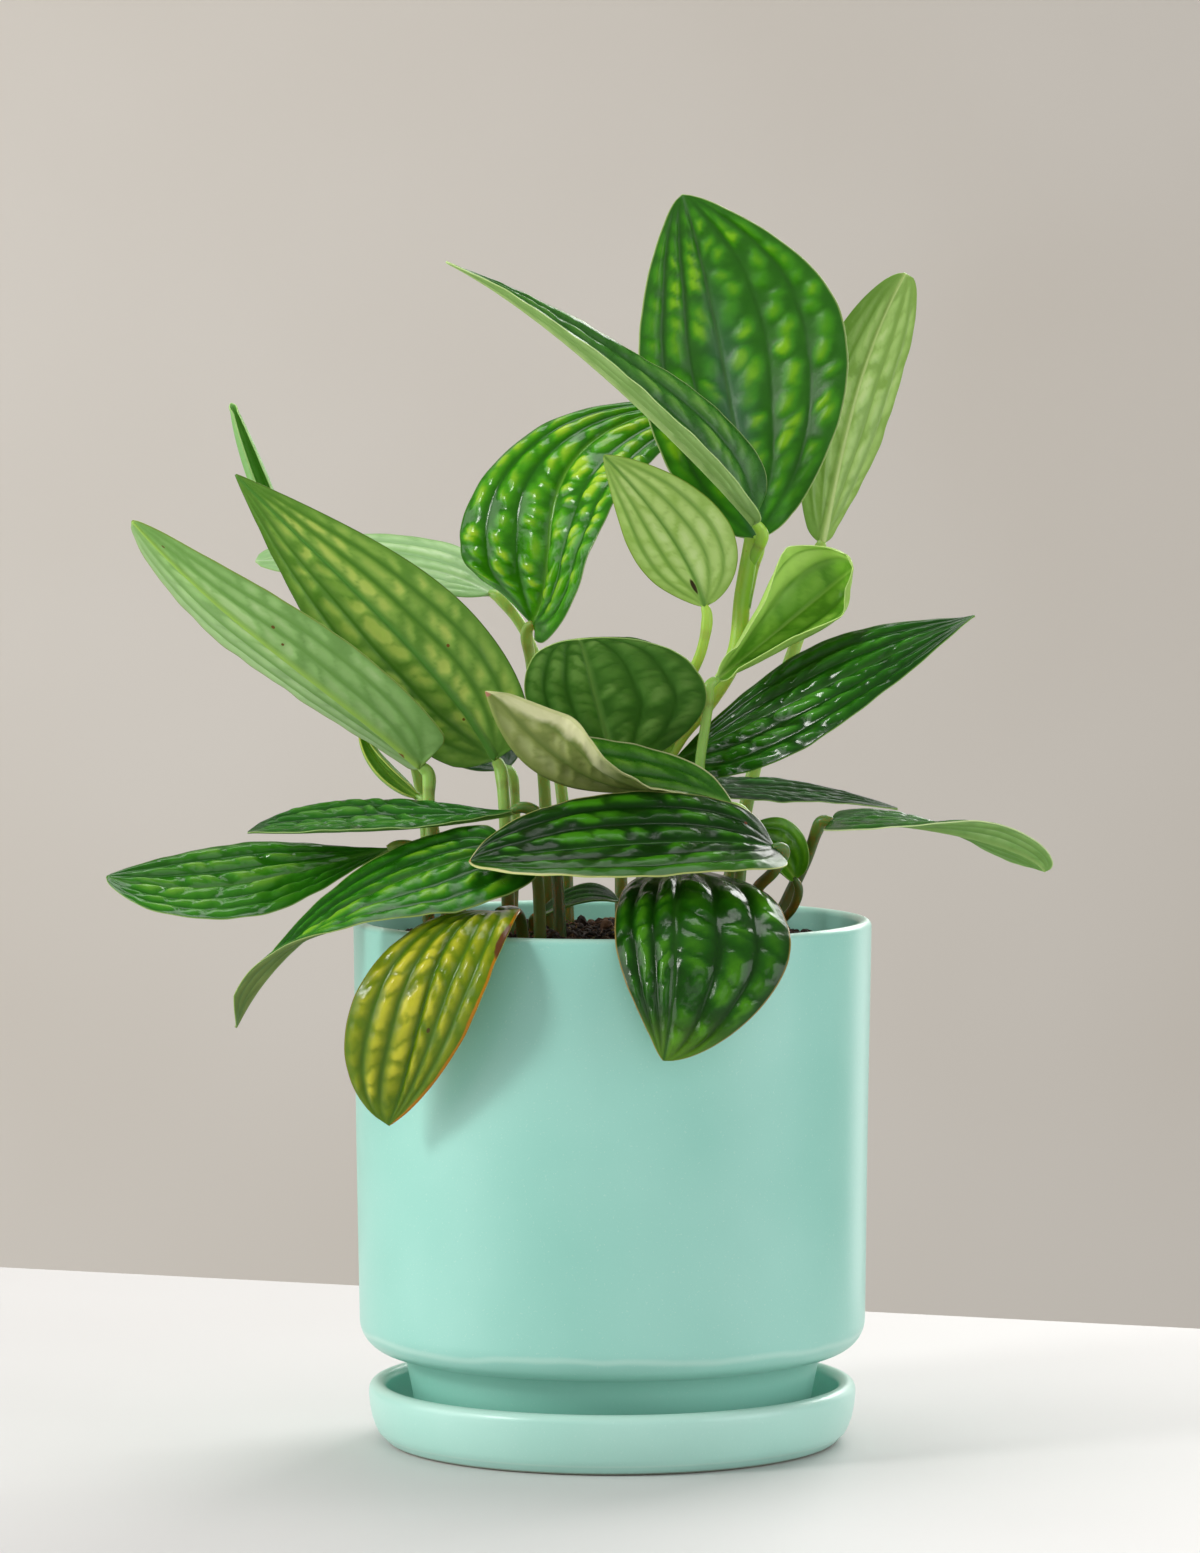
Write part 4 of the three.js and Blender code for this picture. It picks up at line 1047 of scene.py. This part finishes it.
def stem_material(name, low, high, ring):
    tree = Tree(name)
    streaks = tree.noise(tree.place("Object", (1, 1, 0.25)), 900.0)
    patches = tree.noise(tree.place(), 60.0)
    blend = tree.math("MULTIPLY_ADD", patches, 0.5, tree.mask("run"))
    colour = tree.mix(tree.ramp(blend, 0.2, 1.1), linear(low), linear(high))
    colour = tree.mix(tree.times(streaks, 0.35), colour, linear(high), "MULTIPLY")
    colour = tree.tint(colour, tree.mask("node_ring"), 0.6, ring)
    flecks = tree.ramp(tree.noise(tree.place(), 700.0, 1.0), 0.72, 0.8)
    colour = tree.tint(colour, flecks, 0.3, "5a5a2a")
    # Painted shade: every stem turns darker green towards the soil, among the leaves
    in_shade = tree.ramp(tree.height(), SHADE_TOP * MM, SHADE_LOW * MM)
    colour = tree.tint(colour, in_shade, 0.7, "2c4a16")
    normal = tree.bump(streaks, 0.25, 0.0003)
    return tree.finish(colour, 0.38, normal, Subsurface_Weight=0.08, Specular_IOR_Level=0.45)


# Pot and saucer

def arc(centre_radius, centre_height, radius, start, end, steps):
    angles = np.radians(np.linspace(start, end, steps + 1))
    return [(centre_radius + radius * math.cos(a), centre_height + radius * math.sin(a))
            for a in angles]


def straight(start, end, steps):
    """The points between two ends of a line, without the ends."""
    return [(start[0] + (end[0] - start[0]) * i / steps, start[1] + (end[1] - start[1]) * i / steps)
            for i in range(1, steps)]


def turned_piece(name, profile, sides, ripple):
    """A turned body from a closed profile of radius and height, with a hand-made ripple."""
    vertices, faces = [], []
    count = len(profile)
    for step in range(sides):
        angle = 2 * math.pi * step / sides
        for radius, height in profile:
            wave = ripple * math.sin(3 * angle + height * 0.05) + ripple * math.sin(5 * angle + 1)
            vertices.append(((radius + wave) * math.cos(angle) * MM,
                             (radius + wave) * math.sin(angle) * MM, height * MM))
        faces += ring_faces(step * count, (step + 1) % sides * count, count)
    return new_piece(name, vertices, faces)


def pot_profile():
    """From the foot's underside up the outside, over the rim and down inside to the drain."""
    lip = POT_WALL / 2
    inner_low = POT_LOW_RADIUS - POT_WALL
    floor = POT_BODY_BOTTOM + POT_FLOOR
    corner = arc(POT_LOW_RADIUS - POT_CORNER_RADIUS, POT_BODY_BOTTOM + POT_CORNER_RADIUS,
                 POT_CORNER_RADIUS, -90, 0, 14)
    rim = arc(POT_RIM_RADIUS - lip, POT_RIM_HEIGHT - lip, lip, 0, 180, 12)
    foot = [(FOOT_INNER_RADIUS + 0.6, SAUCER_FLOOR), (FOOT_LOW_RADIUS - 0.8, SAUCER_FLOOR),
            (FOOT_LOW_RADIUS, SAUCER_FLOOR + 0.8)]
    neck = (FOOT_TOP_RADIUS - 0.6, POT_BODY_BOTTOM - 1.2)
    foot += straight(foot[-1], neck, 5) + [neck, (FOOT_TOP_RADIUS + 0.6, POT_BODY_BOTTOM)]
    inside = straight(rim[-1], (inner_low, floor + 8), 8)
    inside += [(inner_low, floor + 8), (inner_low - 2.3, floor + 2.3), (inner_low - 8, floor),
               (DRAIN_RADIUS + 0.8, floor), (DRAIN_RADIUS, floor - 0.8),
               (DRAIN_RADIUS, POT_BODY_BOTTOM), (FOOT_INNER_RADIUS - 2, POT_BODY_BOTTOM)]
    return foot + corner + straight(corner[-1], rim[0], 16) + rim + inside


def saucer_profile():
    """From the middle of the underside up the outside, over the rim and back inside."""
    lip = SAUCER_WALL / 2
    inner = SAUCER_RADIUS - SAUCER_WALL
    base = SAUCER_BASE_RADIUS
    rim = arc(SAUCER_RADIUS - lip, SAUCER_HEIGHT - lip, lip, 0, 180, 12)
    outside = [(0.5, 0.0), (30.0, 0.0), (base, 0.0), (base + 1.2, 0.35), (base + 2.6, 1.5),
               (base + 3.5, 2.5), (base + 3.9, 2.9), (base + 4.6, 3.6), (base + 5.4, 5.2),
               (SAUCER_RADIUS - 1.0, 8.0), (SAUCER_RADIUS - 0.3, 11.5), (SAUCER_RADIUS, 14.5)]
    inside = [(inner - 0.1, 13.0), (inner - 0.5, 9.0), (inner - 1.5, 6.6), (inner - 2.6, 5.5),
              (inner - 4.2, SAUCER_FLOOR), (0.5, SAUCER_FLOOR)]
    return outside + rim + inside


def glaze_material(name, deep, pale, details):
    """A speckled satin glaze. details adds what only the pot or only the saucer has, and
    returns the colour and where the clay is bare."""
    tree = Tree(name)
    place = tree.place()
    cloud = tree.noise(place, 16.0, 3.0, 0.55)
    colour = tree.mix(tree.ramp(cloud, 0.25, 0.75), linear(deep), linear(pale))
    speckle = tree.ramp(tree.noise(place, 1500.0, 1.0), 0.66, 0.76)
    colour = tree.tint(colour, speckle, 0.16, "e4f3ea")
    dark_speck = tree.ramp(tree.noise(place, 2300.0, 1.0), 0.76, 0.82)
    colour = tree.tint(colour, dark_speck, 0.12, "5fa08c")
    colour, bare = details(tree, colour)
    colour = tree.tint(colour, bare, 0.8, "8c7f6a")
    rough = tree.plus(tree.stretched(cloud, 0.12, 0.3), tree.times(bare, 0.4))
    texture = tree.plus(tree.noise(place, 420.0), tree.times(speckle, 0.3))
    normal = tree.bump(texture, 0.12, 0.0003)
    return tree.finish(colour, rough, normal, Coat_Weight=0.25, Coat_Roughness=0.22)


def pale_line(tree, colour, height, line_height, reach, strength, tint):
    """A paler line around the body at a stated height."""
    away = tree.math("ABSOLUTE", tree.math("SUBTRACT", height, line_height * MM))
    return tree.tint(colour, tree.ramp(away, reach * MM, 0.0), strength, tint)


def pot_details(tree, colour):
    height = tree.height()
    wander = tree.stretched(tree.noise(tree.place(), 26.0), 0.006, -0.003)
    uneven = tree.plus(height, wander)
    # A paler line where the glaze has pooled or worn thin
    colour = pale_line(tree, colour, uneven, POT_BODY_BOTTOM + 6.7, 1.6, 0.4, "c9e9dd")
    low = tree.ramp(uneven, (POT_BODY_BOTTOM + 7.5) * MM, (POT_BODY_BOTTOM + 1.5) * MM)
    colour = tree.tint(colour, low, 0.4, "7fc0ac")
    lip = tree.ramp(height, (POT_RIM_HEIGHT - 1.6) * MM, (POT_RIM_HEIGHT + 0.2) * MM)
    colour = tree.tint(colour, lip, 0.55, "cdebdd")
    bare = tree.ramp(height, (SAUCER_FLOOR + 1.2) * MM, (SAUCER_FLOOR + 0.6) * MM)
    return colour, bare


def saucer_details(tree, colour):
    height = tree.height()
    # A painted highlight along the rounding just above the saucer's foot
    colour = pale_line(tree, colour, height, 3.1, 0.6, 0.5, "c8e8dc")
    # A painted highlight along the top of the rim
    lip = tree.ramp(height, (SAUCER_HEIGHT - 2.3) * MM, (SAUCER_HEIGHT - 0.2) * MM)
    colour = tree.tint(colour, lip, 0.5, "c6e7da")
    return colour, tree.ramp(height, 1.0 * MM, 0.4 * MM)


# Potting mix: a rough surface with crumbs, bark chips and fibres

def soil_height(x, y):
    radius = math.hypot(x, y)
    place = Vector((x * 0.06, y * 0.06, 3.0))
    height = SOIL_TOP + SOIL_MOUND * (1 - smooth(30, 68, radius))
    height -= 2.2 * smooth(68, SOIL_RADIUS, radius)
    height += 0.9 * noise.noise(place) + 0.7 * noise.noise(place * 3.1)
    return float(height - 0.4)


def soil_surface(rings, sides):
    """The mix's rough top and the skirt below it."""
    vertices = [(0.0, 0.0, soil_height(0, 0))]
    for ring in range(1, rings + 1):
        radius = SOIL_RADIUS * ring / rings
        for i in range(sides):
            angle = 2 * math.pi * i / sides
            x, y = radius * math.cos(angle), radius * math.sin(angle)
            rough = 0.8 * noise.noise(Vector((x * 0.7, y * 0.7, 1.0)))
            vertices.append((x, y, soil_height(x, y) + rough * (ring < rings)))
    vertices += [(x * 0.985, y * 0.985, SOIL_SKIRT) for x, y, _ in vertices[-sides:]]
    faces = [(0, 1 + i, 1 + (i + 1) % sides) for i in range(sides)]
    for ring in range(rings):
        faces += ring_faces(1 + ring * sides, 1 + (ring + 1) * sides, sides)
    faces.append(tuple(reversed(range(len(vertices) - sides, len(vertices)))))
    return vertices, faces


def ball(steps, rings):
    """A small closed ball of triangles and quads, as unit vectors and faces."""
    vertices = [(0.0, 0.0, 1.0)]
    for ring in range(1, rings):
        high = math.cos(math.pi * ring / rings)
        wide = math.sin(math.pi * ring / rings)
        for i in range(steps):
            angle = 2 * math.pi * (i + 0.5 * (ring % 2)) / steps
            vertices.append((wide * math.cos(angle), wide * math.sin(angle), high))
    vertices.append((0.0, 0.0, -1.0))
    faces = [(0, 1 + i, 1 + (i + 1) % steps) for i in range(steps)]
    for ring in range(rings - 2):
        faces += ring_faces(1 + ring * steps, 1 + (ring + 1) * steps, steps)
    last = len(vertices) - 1
    start = last - steps
    faces += [(last, start + (i + 1) % steps, start + i) for i in range(steps)]
    return np.array(vertices), faces


def crumb(draw, shape, size_range, max_stretch):
    """One rough grain that lies half sunk in the surface."""
    radius = CRUMB_REACH * math.sqrt(draw.random())
    angle = 2 * math.pi * draw.random()
    x, y = radius * math.cos(angle), radius * math.sin(angle)
    size = size_range[0] + (size_range[1] - size_range[0]) * draw.random() ** 2
    stretch = 1 + draw.random(3) * max_stretch
    stretch = stretch / stretch.mean()
    rough = 1 + 0.28 * (draw.random(len(shape)) - 0.5)
    axes, _ = np.linalg.qr(draw.normal(size=(3, 3)))
    if np.linalg.det(axes) < 0:
        axes[:, 0] = -axes[:, 0]
    z = soil_height(x, y) + size * (0.1 + 0.35 * draw.random())
    return (shape * rough[:, None] * stretch * size) @ axes.T + [x, y, z]


def fibre(draw):
    """A thin bent fibre on the surface, or nothing where it would touch the pot."""
    radius = FIBRE_REACH * math.sqrt(draw.random())
    angle = 2 * math.pi * draw.random()
    heading = 2 * math.pi * draw.random()
    length = 3 + 9 * draw.random()
    x, y = radius * math.cos(angle), radius * math.sin(angle)
    z = soil_height(x, y) + 0.5
    bend = draw.normal() * 1.2
    line = np.array([[x + length * s * math.cos(heading) - bend * s * s * math.sin(heading),
                      y + length * s * math.sin(heading) + bend * s * s * math.cos(heading),
                      z + 1.4 * math.sin(math.pi * s) * draw.random()]
                     for s in np.linspace(0, 1, 6)])
    if np.hypot(line[:, 0], line[:, 1]).max() > FIBRE_LIMIT:
        return None
    return tube(line, np.full(6, 0.16 + 0.14 * draw.random()), 5, 0.0)


def soil_piece():
    draw = np.random.default_rng(SOIL_SEED)
    vertices, faces = soil_surface(60, 150)
    tints = [0.3] * len(vertices)
    for count, (shape, shape_faces), size_range, max_stretch in (
            (CRUMBS, ball(6, 4), (0.35, 1.1), 0.7), (CHIPS, ball(7, 5), (0.9, 2.3), 1.5)):
        for _ in range(count):
            add_part(vertices, faces, crumb(draw, shape, size_range, max_stretch), shape_faces)
            tints += [draw.random()] * len(shape)
    for _ in range(FIBRES):
        part = fibre(draw)
        if part:
            add_part(vertices, faces, *part)
            tints += [0.8 + 0.2 * draw.random()] * len(part[0])
    return new_piece("soil_mix", [(x * MM, y * MM, z * MM) for x, y, z in vertices], faces, False,
                     tint=tints)


def soil_material():
    tree = Tree("potting_mix_look")
    grains = tree.noise(tree.place(), 500.0, 4.0, 0.6)
    tint = tree.mask("tint")
    colour = tree.mix(tree.ramp(grains, 0.3, 0.75), linear("120b07"), linear("35241a"))
    colour = tree.mix(tree.ramp(tint, 0.6, 1.0), colour, linear("5a3d2a"))
    colour = tree.mix(tree.ramp(tint, 0.93, 1.0), colour, linear("8d7a4f"))
    normal = tree.bump(grains, 0.8, 0.0008)
    return tree.finish(colour, 0.9, normal, Specular_IOR_Level=0.25)


# Putting the plant together


def dress(piece, node, *materials):
    """Gives a piece its materials and puts it in the place of a node."""
    for material in materials:
        piece.data.materials.append(material)
    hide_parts(node)
    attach(piece, "root")


# The saucer's glaze colours are paler than the pot's, painted light bounced up from the table
dress(turned_piece("saucer_finished", saucer_profile(), 160, 0.06), "saucer",
      glaze_material("saucer_look", "a8dacd", "b1dfd3", saucer_details))
dress(turned_piece("pot_finished", pot_profile(), 180, 0.08), "pot",
      glaze_material("pot_look", "8fcdbf", "99d3c6", pot_details))
dress(soil_piece(), "soil", soil_material())

vine_look = stem_material("vine_look", "8ab83c", "a8d250", "7c8a34")
stalk_look = stem_material("stalk_look", "649c38", "92c05a", "71803a")
# A darker copy of the stalk colours, painted shade for the stalks deep under the leaves
painted_shade_stalk_look = stem_material("painted_shade_stalk_look", "3c6a24", "4f8234", "55602a")
for name, branches in STEMS.items():
    material = painted_shade_stalk_look if name in PAINTED_SHADE_STALKS else stalk_look
    dress(stem_piece(name, branches), name, vine_look if name == VINE else material)

for seed, (name, leaf) in enumerate(LEAVES.items(), start=1):
    look = LOOKS[name]
    dress(blade_piece(name + "_finished", leaf, look, seed), name,
          leaf_side(name + "_upper", look, True), leaf_side(name + "_under", look, False),
          rim_material(name + "_rim", look))


# Floor, wall, light and camera, which aren't part of the plant

def stage_plane(name, corners, colour, rough):
    plane = new_piece(name, corners, [(0, 1, 2, 3)], False)
    tree = Tree(name + "_look")
    cloud = tree.noise(tree.place(), 3.0)
    plane.data.materials.append(tree.finish(tree.tint(linear(colour), cloud, 0.25, "ffffff"), rough))
    tree.hide_back()


TABLE_EDGE = ((-0.226, 0.396), (0.204, 0.2375))


def table_edge(x):
    """Where the table's far edge runs: it isn't square to the view."""
    (x0, y0), (x1, y1) = TABLE_EDGE
    return y0 + (y1 - y0) * (x - x0) / (x1 - x0)


stage_plane("table", [(-2.4, -2.2, 0), (2.4, -2.2, 0), (2.4, table_edge(2.4), 0),
                      (-2.4, table_edge(-2.4), 0)], "c9c7c6", 0.6)
stage_plane("wall", [(-6, 2.2, -3), (6, 2.2, -3), (6, 2.2, 5), (-6, 2.2, 5)], "d3ccc2", 0.9)


def area_light(name, place, target, size, power, colour):
    light = bpy.data.lights.new(name, "AREA")
    light.shape = "RECTANGLE"
    light.size, light.size_y = size
    light.energy = power
    light.color = colour
    lamp = bpy.data.objects.new(name, light)
    lamp.location = place
    lamp.rotation_euler = (Vector(target) - Vector(place)).to_track_quat("-Z", "Y").to_euler()
    bpy.context.scene.collection.objects.link(lamp)


area_light("window", (-1.25, -0.75, 0.95), (0, 0, 0.18), (0.3, 0.42), 10, (1.0, 0.99, 0.97))
area_light("soft_left", (-2.0, -0.35, 0.55), (0, 0, 0.14), (2.0, 1.8), 28, (1.0, 0.99, 0.98))
area_light("right_fill", (1.8, -0.75, 0.6), (0, 0, 0.16), (1.4, 1.4), 17, (0.98, 0.99, 1.0))
area_light("front_fill", (0.3, -2.0, 0.7), (0, 0, 0.18), (1.2, 1.0), 4, (0.98, 0.99, 1.0))
area_light("top", (-0.1, 0.3, 1.4), (0, 0, 0.2), (0.8, 0.8), 8, (1.0, 1.0, 1.0))
area_light("back", (0.6, 1.1, 0.9), (0, 0, 0.25), (0.8, 0.8), 13, (1.0, 1.0, 0.98))
area_light("right_edge", (0.85, 1.15, 0.25), (0, 0, 0.12), (0.5, 1.0), 2, (1.0, 1.0, 1.0))
area_light("wall_wash", (-0.8, 1.2, 0.6), (-0.3, 2.2, 0.5), (1.6, 1.6), 5, (1.0, 0.985, 0.96))

world = bpy.data.worlds.new("soft_world")
bpy.context.scene.world = world
world.use_nodes = True
sky = world.node_tree.nodes["Background"]
sky.inputs["Color"].default_value = linear("e9e6e2")
sky.inputs["Strength"].default_value = 0.36
bpy.context.scene.view_settings.view_transform = "Standard"

lens = bpy.data.cameras.new("photo_camera")
lens.lens = 146.7
lens.sensor_width = 36
lens.sensor_height = 36
lens.sensor_fit = "AUTO"
camera = bpy.data.objects.new("photo_camera", lens)
camera.location = (-0.0037, -1.95, 0.317)
camera.rotation_euler = (math.radians(90 - 3.26), 0, 0)
bpy.context.scene.collection.objects.link(camera)
bpy.context.scene.camera = camera
